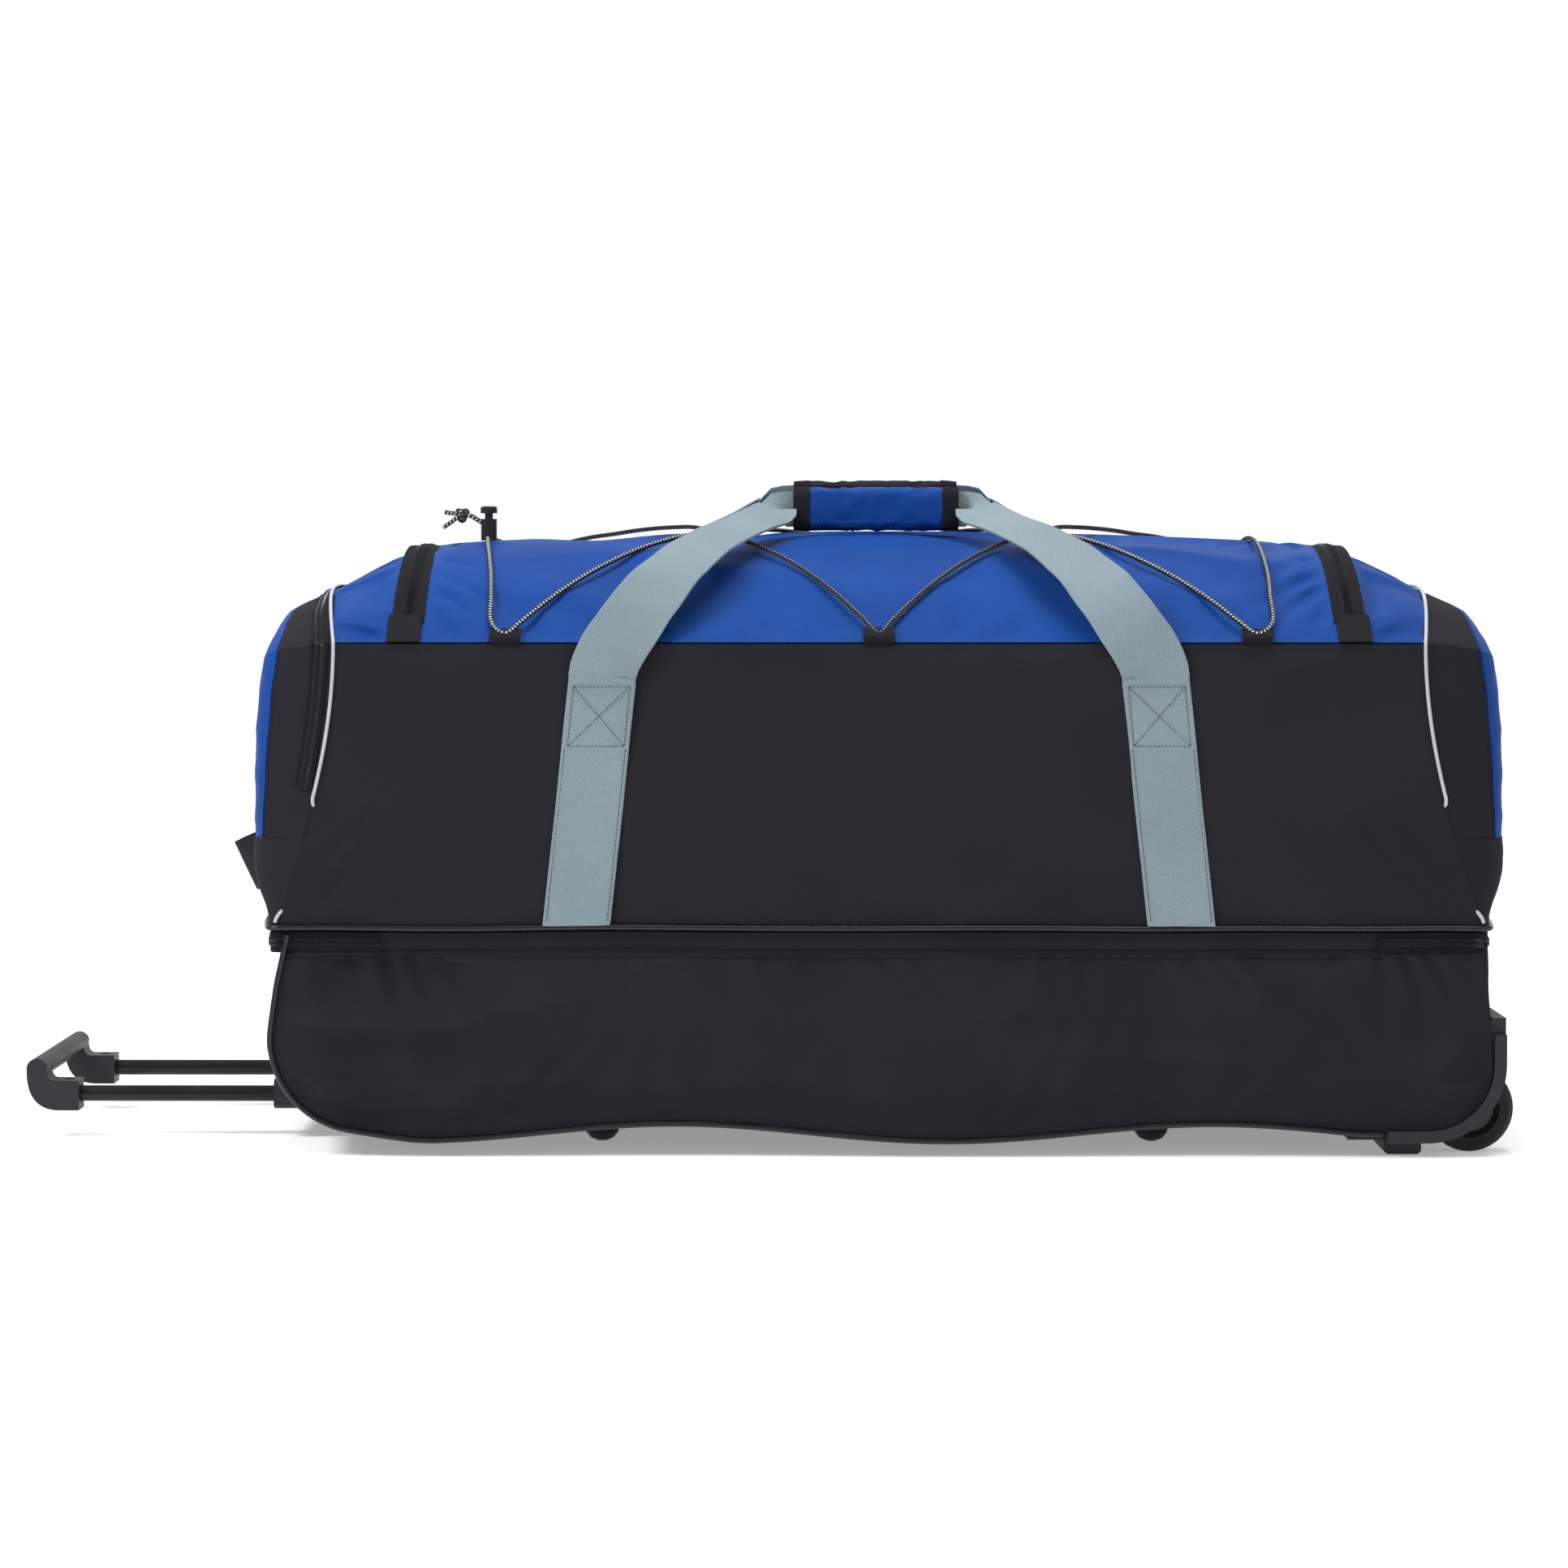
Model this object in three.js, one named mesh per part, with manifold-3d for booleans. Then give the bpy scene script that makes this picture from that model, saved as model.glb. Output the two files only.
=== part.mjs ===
// Rolling drop-bottom duffel bag. Millimetres, +Z up, long side along X, front at -Y.
import * as THREE from 'three';
import { mergeVertices } from 'three/addons/utils/BufferGeometryUtils.js';
import Module from 'manifold-3d';

const wasm = await Module();
wasm.setup();

// ---- driving dimensions ----
const HALF_WIDTH = 190; // lower compartment, centre to front face
const ROOF_HALF_WIDTH = 183; // centre to the seam between side panel and roof
const LOWER_TOP = 168; // lip of the lower compartment
const PIPING_Z = 171; // ring of piping between the two compartments
const UPPER_BASE = 173.4; // bottom edge of the upper panels
const ROOF_SEAM = 382; // height of the seam between side panel and roof
const ROOF_CREST = 465;
const FABRIC = 3; // padded fabric with its lining
const GAP = 0.4; // clearance between touching pieces
const WEBBING = 2.2; // thickness of the strap webbing
const STRAP_WIDTH = 50;
const PIPING_RADIUS = 1.75;

const LID_HALF = 350.4; // lid parts from the roof ends here
const LID_REAR = 94.4; // lid parts from the rear roof strip here
const END_DOME = 16; // the end seam stands this much further out at the middle of the roof

const FOLD_Z = 352; // carry straps are free above this height
const GRIP_HALF = 63; // half length of the carry-handle wrap

const TUBE_Y = 80; // trolley tubes, either side of the middle
const TUBE_Z = 33;
const WHEEL = { x: 444, y: 150, z: 33, radius: 33, width: 24 };
const FOOT = { x: 210, y: 100, radius: 13, height: 19 };

const COLOURS = {
  fabric: { color: 0x26262e, roughness: 0.85, metalness: 0 },
  blue: { color: 0x2350a8, roughness: 0.7, metalness: 0 },
  webbing: { color: 0x8eaab2, roughness: 0.8, metalness: 0 },
  binding: { color: 0x1c1c20, roughness: 0.85, metalness: 0 },
  piping: { color: 0x2a2e33, roughness: 0.3, metalness: 0 },
  plastic: { color: 0x222427, roughness: 0.5, metalness: 0 },
  rubber: { color: 0x18181a, roughness: 0.75, metalness: 0 },
  steel: { color: 0x8a8d92, roughness: 0.3, metalness: 1 },
  tube: { color: 0x1c1d20, roughness: 0.3, metalness: 0.6 },
  cord: { color: 0x17171a, roughness: 0.8, metalness: 0 },
  board: { color: 0x3a3a3e, roughness: 0.7, metalness: 0 },
};

const model = new THREE.Group();
const v3 = (x, y, z) => new THREE.Vector3(x, y, z);

// ---- geometry helpers ----

// A closed body from points and triangles, turned to face outwards, with empty triangles dropped.
function closedBody(points, triangles) {
  let volume = 0;
  const cross = new THREE.Vector3();
  const kept = triangles.filter(([a, b, c]) => {
    const ab = points[b].clone().sub(points[a]);
    const ac = points[c].clone().sub(points[a]);
    volume += points[a].dot(cross.crossVectors(points[b], points[c]));
    return cross.crossVectors(ab, ac).length() > 1e-6;
  });
  const index = kept.flatMap(([a, b, c]) => (volume > 0 ? [a, b, c] : [a, c, b]));
  const geometry = new THREE.BufferGeometry();
  const flat = points.flatMap((p) => [p.x, p.y, p.z]);
  geometry.setAttribute('position', new THREE.Float32BufferAttribute(flat, 3));
  geometry.setIndex(index);
  return geometry;
}

// Rows of points from a function of two numbers that run from 0 to 1.
function pointGrid(columns, rows, point) {
  const grid = [];
  for (let j = 0; j <= rows; j++) {
    const row = [];
    for (let i = 0; i <= columns; i++) row.push(point(i / columns, j / rows));
    grid.push(row);
  }
  return grid;
}

// The closed body between two grids of points: an outer skin, an inner skin and their rim.
function shellBetween(outer, inner) {
  const rows = outer.length;
  const columns = outer[0].length;
  const points = [...outer.flat(), ...inner.flat()];
  const shift = rows * columns;
  const triangles = [];
  const quad = (a, b, c, d) => triangles.push([a, b, c], [a, c, d]);
  for (let j = 0; j < rows - 1; j++) {
    for (let i = 0; i < columns - 1; i++) {
      const a = j * columns + i;
      const b = a + 1;
      const c = b + columns;
      const d = a + columns;
      quad(a, b, c, d);
      quad(d + shift, c + shift, b + shift, a + shift);
    }
  }
  const rim = [];
  for (let i = 0; i < columns; i++) rim.push(i);
  for (let j = 1; j < rows; j++) rim.push(j * columns + columns - 1);
  for (let i = columns - 2; i >= 0; i--) rim.push((rows - 1) * columns + i);
  for (let j = rows - 2; j > 0; j--) rim.push(j * columns);
  rim.forEach((a, k) => {
    const b = rim[(k + 1) % rim.length];
    quad(b, a, a + shift, b + shift);
  });
  return closedBody(points, triangles);
}

// A padded skin: the outer surface, and the same surface moved inwards.
function skin(columns, rows, surface, inward) {
  const outer = pointGrid(columns, rows, surface);
  const inner = pointGrid(columns, rows, (u, v) => {
    const p = surface(u, v);
    return p.clone().add(inward(p));
  });
  return shellBetween(outer, inner);
}

// The closed body through a row of closed loops that all have the same number of points.
function loft(loops) {
  const size = loops[0].length;
  const points = loops.flat();
  const triangles = [];
  for (let j = 0; j < loops.length - 1; j++) {
    for (let i = 0; i < size; i++) {
      const a = j * size + i;
      const b = j * size + ((i + 1) % size);
      triangles.push([a, b, b + size], [a, b + size, a + size]);
    }
  }
  const last = points.length - size;
  for (const [a, b, c] of capTriangles(loops[0])) triangles.push([c, b, a]);
  for (const [a, b, c] of capTriangles(loops.at(-1))) triangles.push([a + last, b + last, c + last]);
  return closedBody(points, triangles);
}

// Triangles that fill a flat loop, running the same way round as the loop.
function capTriangles(loop) {
  const normal = new THREE.Vector3();
  loop.forEach((p, i) => normal.add(p.clone().cross(loop[(i + 1) % loop.length])));
  normal.normalize();
  const across = loop[1].clone().sub(loop[0]).normalize();
  const up = normal.clone().cross(across);
  const flat = loop.map((p) => new THREE.Vector2(p.dot(across), p.dot(up)));
  return THREE.ShapeUtils.triangulateShape(flat, []);
}

// A round bar along a smooth line through the points.
function roundTube(points, radius, steps, sides = 8) {
  const ring = new THREE.Shape();
  for (let k = 0; k < sides; k++) {
    const angle = (2 * Math.PI * k) / sides;
    const x = radius * Math.cos(angle);
    const y = radius * Math.sin(angle);
    if (k) ring.lineTo(x, y);
    else ring.moveTo(x, y);
  }
  const path = new THREE.CatmullRomCurve3(points, false, 'centripetal');
  return new THREE.ExtrudeGeometry(ring, { extrudePath: path, steps, bevelEnabled: false });
}

// A shape drawn with x along X and y along Z, running from one Y to another.
function alongY(shape, from, to) {
  const settings = { depth: to - from, bevelEnabled: false, curveSegments: 10 };
  const geometry = new THREE.ExtrudeGeometry(shape, settings);
  geometry.rotateX(Math.PI / 2);
  return geometry.translate(0, to, 0);
}

// A shape drawn with x along Y and y along Z, running from one X to another.
function alongX(shape, from, to) {
  const settings = { depth: to - from, bevelEnabled: false, curveSegments: 8 };
  const geometry = new THREE.ExtrudeGeometry(shape, settings);
  geometry.rotateX(Math.PI / 2).rotateZ(Math.PI / 2);
  return geometry.translate(from, 0, 0);
}

function box(x0, x1, y0, y1, z0, z1) {
  const geometry = new THREE.BoxGeometry(x1 - x0, y1 - y0, z1 - z0);
  return geometry.translate((x0 + x1) / 2, (y0 + y1) / 2, (z0 + z1) / 2);
}

function roundedRectangle(x0, x1, y0, y1, radius) {
  const shape = new THREE.Shape();
  shape.moveTo(x0 + radius, y0);
  shape.lineTo(x1 - radius, y0);
  shape.absarc(x1 - radius, y0 + radius, radius, -Math.PI / 2, 0);
  shape.absarc(x1 - radius, y1 - radius, radius, 0, Math.PI / 2);
  shape.absarc(x0 + radius, y1 - radius, radius, Math.PI / 2, Math.PI);
  shape.absarc(x0 + radius, y0 + radius, radius, Math.PI, 1.5 * Math.PI);
  return shape;
}

// A ring turned about Y. Its section is [radius, y] pairs: up the inside, then down the outside.
function turnedAboutY(section, segments) {
  const profile = section.map(([radius, y]) => new THREE.Vector2(radius, y)).reverse();
  return new THREE.LatheGeometry([...profile, profile[0]], segments);
}

function toSolid(geometry) {
  const bare = geometry.clone();
  bare.deleteAttribute('normal');
  bare.deleteAttribute('uv');
  const merged = mergeVertices(bare, 1e-4);
  return new wasm.Manifold(
    new wasm.Mesh({
      numProp: 3,
      vertProperties: new Float32Array(merged.attributes.position.array),
      triVerts: new Uint32Array(merged.index.array),
    }),
  );
}

function fromSolid(solid) {
  const mesh = solid.getMesh();
  const geometry = new THREE.BufferGeometry();
  geometry.setAttribute('position', new THREE.Float32BufferAttribute(mesh.vertProperties, 3));
  geometry.setIndex(Array.from(mesh.triVerts));
  return geometry;
}

function cut(geometry, ...cutters) {
  return fromSolid(cutters.reduce((solid, tool) => solid.subtract(toSolid(tool)), toSolid(geometry)));
}

function joined(geometry, ...others) {
  return fromSolid(others.reduce((solid, more) => solid.add(toSolid(more)), toSolid(geometry)));
}

function add(name, geometry, look, parent = model) {
  const mesh = new THREE.Mesh(geometry, new THREE.MeshStandardMaterial(COLOURS[look]));
  mesh.name = name;
  parent.add(mesh);
  return mesh;
}

// Front and rear copies of a piece: [word for the name, -1 or 1 for Y].
const SIDES = [
  ['front', -1],
  ['rear', 1],
];
const ENDS = [
  ['left', -1],
  ['right', 1],
];

function mirroredY(geometry) {
  const copy = geometry.clone();
  const position = copy.attributes.position;
  for (let i = 0; i < position.count; i++) position.setY(i, -position.getY(i));
  const index = copy.index ? Array.from(copy.index.array) : [...Array(position.count).keys()];
  for (let i = 0; i < index.length; i += 3) [index[i], index[i + 1]] = [index[i + 1], index[i]];
  copy.setIndex(index);
  return copy;
}

const onSide = (geometry, side) => (side < 0 ? geometry : mirroredY(geometry));

// ---- outer form of the bag ----

// How far up the upper side panel a height is, from 0 at its foot to 1 at the roof seam.
const riseAt = (z) => THREE.MathUtils.clamp((z - PIPING_Z) / (ROOF_SEAM - PIPING_Z), 0, 1);

// Centre to the end seam of the upper compartment. Above the waist it bows out towards the middle.
function endSeamAt(z, y = ROOF_HALF_WIDTH) {
  const middle = 1 - Math.min(1, Math.abs(y) / ROOF_HALF_WIDTH) ** 2;
  return 448 - 45 * Math.sin((riseAt(z) * Math.PI) / 2) + END_DOME * riseAt(z) * middle;
}

// Centre to the front panel of the upper compartment, which leans in towards the roof.
const panelYAt = (z) => HALF_WIDTH - (HALF_WIDTH - ROOF_HALF_WIDTH) * riseAt(z);

// Height of the roof's ridge along the bag: nearly level, then falling away at the ends.
function crestAt(x) {
  const level = ROOF_CREST - 10 * (x / 345) ** 2;
  const past = Math.max(0, (Math.abs(x) - 345) / 58);
  return level - 21 * past ** 1.2;
}

// Height of the roof: domed across the bag.
function roofAt(x, y) {
  const share = Math.min(1, Math.abs(y) / ROOF_HALF_WIDTH);
  return ROOF_SEAM + 0.4 + (crestAt(x) - ROOF_SEAM) * (1 - share ** 2.3);
}

// From the roof's outer face to its inner face: level at the seams and straight down at the ridge.
function roofInward(p) {
  const angle = (p.y / ROOF_HALF_WIDTH) * (Math.PI / 2);
  return v3(0, -FABRIC * Math.sin(angle), -FABRIC * Math.cos(angle));
}

// ---- lower compartment ----

// Outline of the lower side panels: down the left edge, along the bottom, up the right edge.
const LOWER_BOTTOM = 19;
const LEFT_CORNER = { radius: 70, side: 452, top: 438 };
const RIGHT_CORNER = { radius: 49, side: 456, top: 450 };

function lowerCorner({ radius, side, top }, inset) {
  const half = [[top - inset, LOWER_TOP - GAP], [side - 4 - inset, 122]];
  const steps = 6;
  for (let k = 0; k <= steps; k++) {
    const angle = (k / steps) * (Math.PI / 2);
    const x = side - radius + (radius - inset) * Math.cos(angle);
    half.push([x, LOWER_BOTTOM + radius - (radius - inset) * Math.sin(angle)]);
  }
  half.push([210, LOWER_BOTTOM + inset]);
  return half;
}

function lowerOutline(inset = 0) {
  const left = lowerCorner(LEFT_CORNER, inset).map(([x, z]) => [-x, z]);
  return [...left, [0, LOWER_BOTTOM + inset], ...lowerCorner(RIGHT_CORNER, inset).reverse()];
}

function shapeFrom(pairs) {
  return new THREE.Shape(pairs.map(([x, z]) => new THREE.Vector2(x, z)));
}

// The rim band of a wheel housing wraps the lower right corner of the side panel.
const RIM = { left: 378, right: 466, bottom: 11, top: 92, corner: 58, band: 9 };

function rimBand(grow = 0) {
  const shape = new THREE.Shape();
  const x = RIM.right - RIM.corner;
  const z = RIM.bottom + RIM.corner;
  const outer = RIM.corner + grow;
  const inner = RIM.corner - RIM.band - grow;
  shape.moveTo(RIM.left - grow, z - outer);
  shape.lineTo(x, z - outer);
  shape.absarc(x, z, outer, -Math.PI / 2, 0);
  shape.lineTo(x + outer, RIM.top + grow);
  shape.lineTo(x + inner, RIM.top + grow);
  shape.absarc(x, z, inner, 0, -Math.PI / 2, true);
  shape.lineTo(RIM.left - grow, z - inner);
  return shape;
}

// The wheel well behind the side panel, seen from the front. Grow makes it larger all round.
const WELL = { left: 392, top: 104, back: 113, arch: 50 };

function wellOutline(grow = 0) {
  const shape = new THREE.Shape();
  const corner = RIM.corner + grow;
  const x = RIM.right - RIM.corner;
  const z = RIM.bottom + RIM.corner;
  shape.moveTo(WELL.left - grow, z - corner);
  shape.lineTo(x, z - corner);
  shape.absarc(x, z, corner, -Math.PI / 2, 0);
  shape.lineTo(x + corner, WELL.top + grow);
  shape.lineTo(456 - grow, WELL.top + grow);
  shape.absarc(WHEEL.x, WHEEL.z, WELL.arch + grow, Math.PI / 2, Math.PI * 0.86);
  return shape;
}

// How far the end gusset bulges past the side panels' outline, across the bag and up it.
function endBulge(y, z) {
  const across = 1 - (Math.abs(y) / HALF_WIDTH) ** 4;
  const up = THREE.MathUtils.smoothstep(z, LOWER_BOTTOM, 36);
  return 14 * across * up;
}

function lowerPanel(side) {
  const outline = shapeFrom(lowerOutline());
  const near = HALF_WIDTH - FABRIC;
  const plate = alongY(outline, -HALF_WIDTH, -near);
  return onSide(cut(plate, alongY(rimBand(GAP), -HALF_WIDTH - 5, -100)), side);
}

function lowerGusset() {
  const outer = lowerOutline();
  const inner = lowerOutline(FABRIC);
  const edge = HALF_WIDTH - FABRIC - GAP;
  const layer = (outline) => (u, v) => {
    const [x, z] = outline[Math.round(u * (outline.length - 1))];
    const y = edge * (2 * v - 1);
    return v3(x + Math.sign(x) * endBulge(y, z), y, z);
  };
  const columns = outer.length - 1;
  const body = shellBetween(pointGrid(columns, 8, layer(outer)), pointGrid(columns, 8, layer(inner)));
  const exit = box(-480, BEZEL.right + GAP, -BEZEL.halfY - GAP, BEZEL.halfY + GAP, BEZEL.z0 - GAP, BEZEL.z1 + GAP);
  const well = alongY(wellOutline(GAP), -200, -WELL.back + GAP);
  const bands = SIDES.map(([, side]) => onSide(alongY(rimBand(GAP), -200, -180), side));
  return cut(body, well, mirroredY(well), ...bands, exit);
}

function lowerPiping(side) {
  const outline = lowerOutline(-PIPING_RADIUS * 0.4);
  const visible = outline.filter(([x, z]) => x < 300 && z < 160);
  const points = visible.map(([x, z]) => v3(x, -HALF_WIDTH - PIPING_RADIUS - GAP, z));
  points.push(v3(373, -HALF_WIDTH - PIPING_RADIUS - GAP, LOWER_BOTTOM - PIPING_RADIUS * 0.4));
  return onSide(roundTube(points, PIPING_RADIUS, 32, 6), side);
}

function footDome() {
  const profile = [
    [0, 0],
    [4, 0],
    [9, 2.2],
    [12.4, 6.5],
    [FOOT.radius, 11],
    [FOOT.radius, FOOT.height - 0.6],
    [0, FOOT.height - 0.6],
  ];
  const points = profile.map(([r, z]) => new THREE.Vector2(r, z));
  return new THREE.LatheGeometry(points, 20).rotateX(Math.PI / 2);
}

function lowerCompartment() {
  for (const [word, side] of SIDES) {
    add(`lower_${word}_panel`, lowerPanel(side), 'fabric');
    add(`lower_${word}_piping`, lowerPiping(side), 'piping');
    for (const [end, sign] of ENDS) {
      add(`foot_${word}_${end}`, footDome(), 'rubber').position.set(sign * FOOT.x, side * FOOT.y, 0);
    }
  }
  add('lower_gusset', lowerGusset(), 'fabric');
  add('base_board', box(-378, 345, -170, 170, 22.4, 24.2), 'board');
}

// ---- wheels and their housings ----

const SLOT = { radius: WHEEL.radius + 3, halfWidth: WHEEL.width / 2 + 3 };
const AXLE_RADIUS = 4;

function aboutWheel(radius, from, to) {
  const bar = new THREE.CylinderGeometry(radius, radius, to - from, 32);
  return bar.translate(WHEEL.x, (from + to) / 2, WHEEL.z);
}

function wheelHousing(side) {
  const slotFrom = -WHEEL.y - SLOT.halfWidth;
  const slotTo = -WHEEL.y + SLOT.halfWidth;
  const wellFront = -HALF_WIDTH + FABRIC + GAP;
  const band = alongY(rimBand(), -HALF_WIDTH - 2.5, wellFront + 1);
  const well = alongY(wellOutline(), wellFront, -WELL.back);
  const baseFlange = box(350, WELL.left + 2, -180, -WELL.back, 12, LOWER_BOTTOM - GAP);
  const skid = alongY(roundedRectangle(377, 405, 1, 14, 4), -178, -122);
  const slot = aboutWheel(SLOT.radius, slotFrom, slotTo);
  const mouth = box(WHEEL.x, 500, slotFrom, slotTo, -5, WHEEL.z);
  const sill = box(WHEEL.x - 30, 500, slotFrom, slotTo, -5, 18);
  const bore = aboutWheel(AXLE_RADIUS + GAP, -HALF_WIDTH + 4, -117);
  const body = joined(well, band, baseFlange, skid);
  return onSide(cut(body, slot, mouth, sill, bore), side);
}

function tyre() {
  const half = WHEEL.width / 2;
  const section = [
    [22, -half + 1],
    [22, half - 1],
    [29, half],
    [32.2, half - 3],
    [WHEEL.radius, half - 6],
    [WHEEL.radius, -half + 6],
    [32.2, -half + 3],
    [29, -half],
  ];
  return turnedAboutY(section, 36);
}

function hub() {
  const half = WHEEL.width / 2;
  const section = [
    [AXLE_RADIUS + GAP, -half - 1],
    [AXLE_RADIUS + GAP, half + 1],
    [9, half + 1],
    [10, half - 4],
    [18, half - 5],
    [21.6, half - 1.5],
    [21.6, -half + 1.5],
    [18, -half + 5],
    [10, -half + 4],
    [9, -half - 1],
  ];
  return turnedAboutY(section, 28);
}

function wheels() {
  for (const [word, side] of SIDES) {
    add(`wheel_housing_${word}`, wheelHousing(side), 'plastic');
    const axle = new THREE.CylinderGeometry(AXLE_RADIUS, AXLE_RADIUS, 66, 16);
    add(`axle_${word}`, axle, 'steel').position.set(WHEEL.x, side * WHEEL.y, WHEEL.z);
    add(`wheel_tyre_${word}`, tyre(), 'rubber').position.set(WHEEL.x, side * WHEEL.y, WHEEL.z);
    add(`wheel_hub_${word}`, hub(), 'plastic').position.set(WHEEL.x, side * WHEEL.y, WHEEL.z);
  }
}

// ---- trolley handle ----

const BEZEL = { halfY: 100, z0: 23, z1: 46, right: -403 };
const INNER_TUBE = { radius: 6.25, left: -628, right: -325 };
const OUTER_TUBE = { bore: 6.7, radius: 8.4, left: -402, right: -170 };
const GRIP_BAR = { x: -645, z: 53, radius: 8 };
const BLOCK = { right: -613, left: -634, bottom: 21, top: 44, halfY: 12 };

function barAlongX(radius, from, to, segments = 20) {
  const bar = new THREE.CylinderGeometry(radius, radius, to - from, segments);
  return bar.rotateZ(Math.PI / 2).translate((from + to) / 2, 0, 0);
}

function outerTube() {
  const section = [
    [OUTER_TUBE.bore, OUTER_TUBE.left],
    [OUTER_TUBE.bore, OUTER_TUBE.right],
    [OUTER_TUBE.radius, OUTER_TUBE.right],
    [OUTER_TUBE.radius, OUTER_TUBE.left],
  ];
  return turnedAboutY(section, 20).rotateZ(-Math.PI / 2);
}

function exitBezel() {
  const plate = alongX(roundedRectangle(-BEZEL.halfY, BEZEL.halfY, BEZEL.z0, BEZEL.z1, 8), -462, BEZEL.right);
  const holes = SIDES.map(([, side]) => {
    return barAlongX(OUTER_TUBE.bore, -490, -400).translate(0, side * TUBE_Y, TUBE_Z);
  });
  return cut(plate, ...holes);
}

// A curved cheek that carries one end of the grip bar and clamps one tube.
function gripArm() {
  const shape = new THREE.Shape();
  shape.moveTo(BLOCK.right, BLOCK.bottom);
  shape.lineTo(BLOCK.right, BLOCK.top);
  shape.lineTo(-632, BLOCK.top);
  shape.quadraticCurveTo(-637.5, BLOCK.top, -637.5, GRIP_BAR.z);
  shape.absarc(GRIP_BAR.x, GRIP_BAR.z, GRIP_BAR.radius, 0.1, Math.PI - 0.1);
  shape.quadraticCurveTo(-654, BLOCK.bottom, -628, BLOCK.bottom);
  const cheek = alongY(shape, -BLOCK.halfY, BLOCK.halfY);
  const recess = new THREE.CylinderGeometry(4, 4, 3, 16).rotateX(Math.PI / 2);
  recess.translate(-622, 0, BLOCK.top);
  const socket = barAlongX(INNER_TUBE.radius + GAP, INNER_TUBE.left - GAP, -600);
  return cut(cheek, recess, socket.translate(0, 0, TUBE_Z));
}

function trolley() {
  const barHalf = TUBE_Y - BLOCK.halfY - GAP;
  for (const [word, side] of SIDES) {
    const y = side * TUBE_Y;
    add(`trolley_outer_tube_${word}`, outerTube(), 'steel').position.set(0, y, TUBE_Z);
    const inner = barAlongX(INNER_TUBE.radius, INNER_TUBE.left, INNER_TUBE.right);
    add(`trolley_inner_tube_${word}`, inner, 'tube').position.set(0, y, TUBE_Z);
    add(`trolley_grip_arm_${word}`, gripArm(), 'plastic').position.y = y;
  }
  const bar = new THREE.CylinderGeometry(GRIP_BAR.radius, GRIP_BAR.radius, 2 * barHalf, 24);
  add('trolley_grip_bar', bar, 'plastic').position.set(GRIP_BAR.x, 0, GRIP_BAR.z);
  add('trolley_exit_bezel', exitBezel(), 'plastic');
}

// ---- upper compartment ----

const POCKET_BASE = 236; // bottom edge of the end pockets
const END_TOP_DROP = FABRIC + GAP; // the end panels stop this far under the roof

function upperSidePanel(side) {
  const top = ROOF_SEAM - GAP;
  const surface = (u, v) => {
    const z = UPPER_BASE + (top - UPPER_BASE) * v;
    return v3((2 * u - 1) * endSeamAt(z), side * panelYAt(z), z);
  };
  return skin(8, 10, surface, () => v3(0, -side * FABRIC, 0));
}

// Inner wall behind an end pocket, from the floor of the upper compartment to the roof.
function endPanel(sign) {
  const surface = (u, v) => {
    const across = 2 * u - 1;
    const topY = across * (ROOF_HALF_WIDTH - FABRIC - GAP);
    const top = roofAt(endSeamAt(ROOF_SEAM, topY), topY) - END_TOP_DROP;
    const z = UPPER_BASE + (top - UPPER_BASE) * v;
    const y = across * (panelYAt(z) - FABRIC - GAP);
    return v3(sign * endSeamAt(z, y), y, z);
  };
  return skin(12, 10, surface, () => v3(-sign * FABRIC, 0, 0));
}

// A part of the roof from one X to another, where the second may change with Y.
function roofPatch(x0, x1At, y0, y1, columns, rows) {
  const surface = (u, v) => {
    const y = y0 + (y1 - y0) * v;
    const x = x0 + (x1At(y) - x0) * u;
    return v3(x, y, roofAt(x, y));
  };
  return skin(columns, rows, surface, roofInward);
}

// The ring of piping round the waist, open by a hair at the middle of the rear.
function waistPiping() {
  const front = HALF_WIDTH + PIPING_RADIUS;
  const quarter = [
    [1, front],
    [200, front],
    [380, front],
    [425, front],
    [438, front - 0.4],
    [446, front - 4],
    [451, front - 14],
  ];
  for (const y of [150, 110, 60]) quarter.push([452 + endBulge(y, 100), y]);
  const rearRight = quarter.map(([x, y]) => v3(x, y, PIPING_Z));
  const frontRight = quarter.map(([x, y]) => v3(x, -y, PIPING_Z)).reverse();
  const right = [...rearRight, v3(468, 0, PIPING_Z), ...frontRight.slice(0, -1)];
  const left = right.map((p) => v3(-p.x, p.y, p.z)).reverse();
  return roundTube([...right, ...left], PIPING_RADIUS - 0.15, 100, 6);
}

function dividerFloor() {
  const half = [];
  for (const y of [-180, -130, -60, 0, 60, 130, 180]) half.push([438 + endBulge(y, 100), y]);
  const outline = [...half, ...half.map(([x, y]) => [-x, -y])];
  const plate = new THREE.ExtrudeGeometry(shapeFrom(outline), { depth: 2.6, bevelEnabled: false });
  return plate.translate(0, 0, PIPING_Z - 1.3);
}

// How far the end pockets stand out, at each height, and how they round out from their seam.
const pocketReach = (z) => (z > 380 ? 471 - 10 * ((z - 380) / 17) ** 1.5 : 471);
const pocketOut = (toSpine) => 1 - (1 - Math.min(1, toSpine / 0.55)) ** 8;

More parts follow.
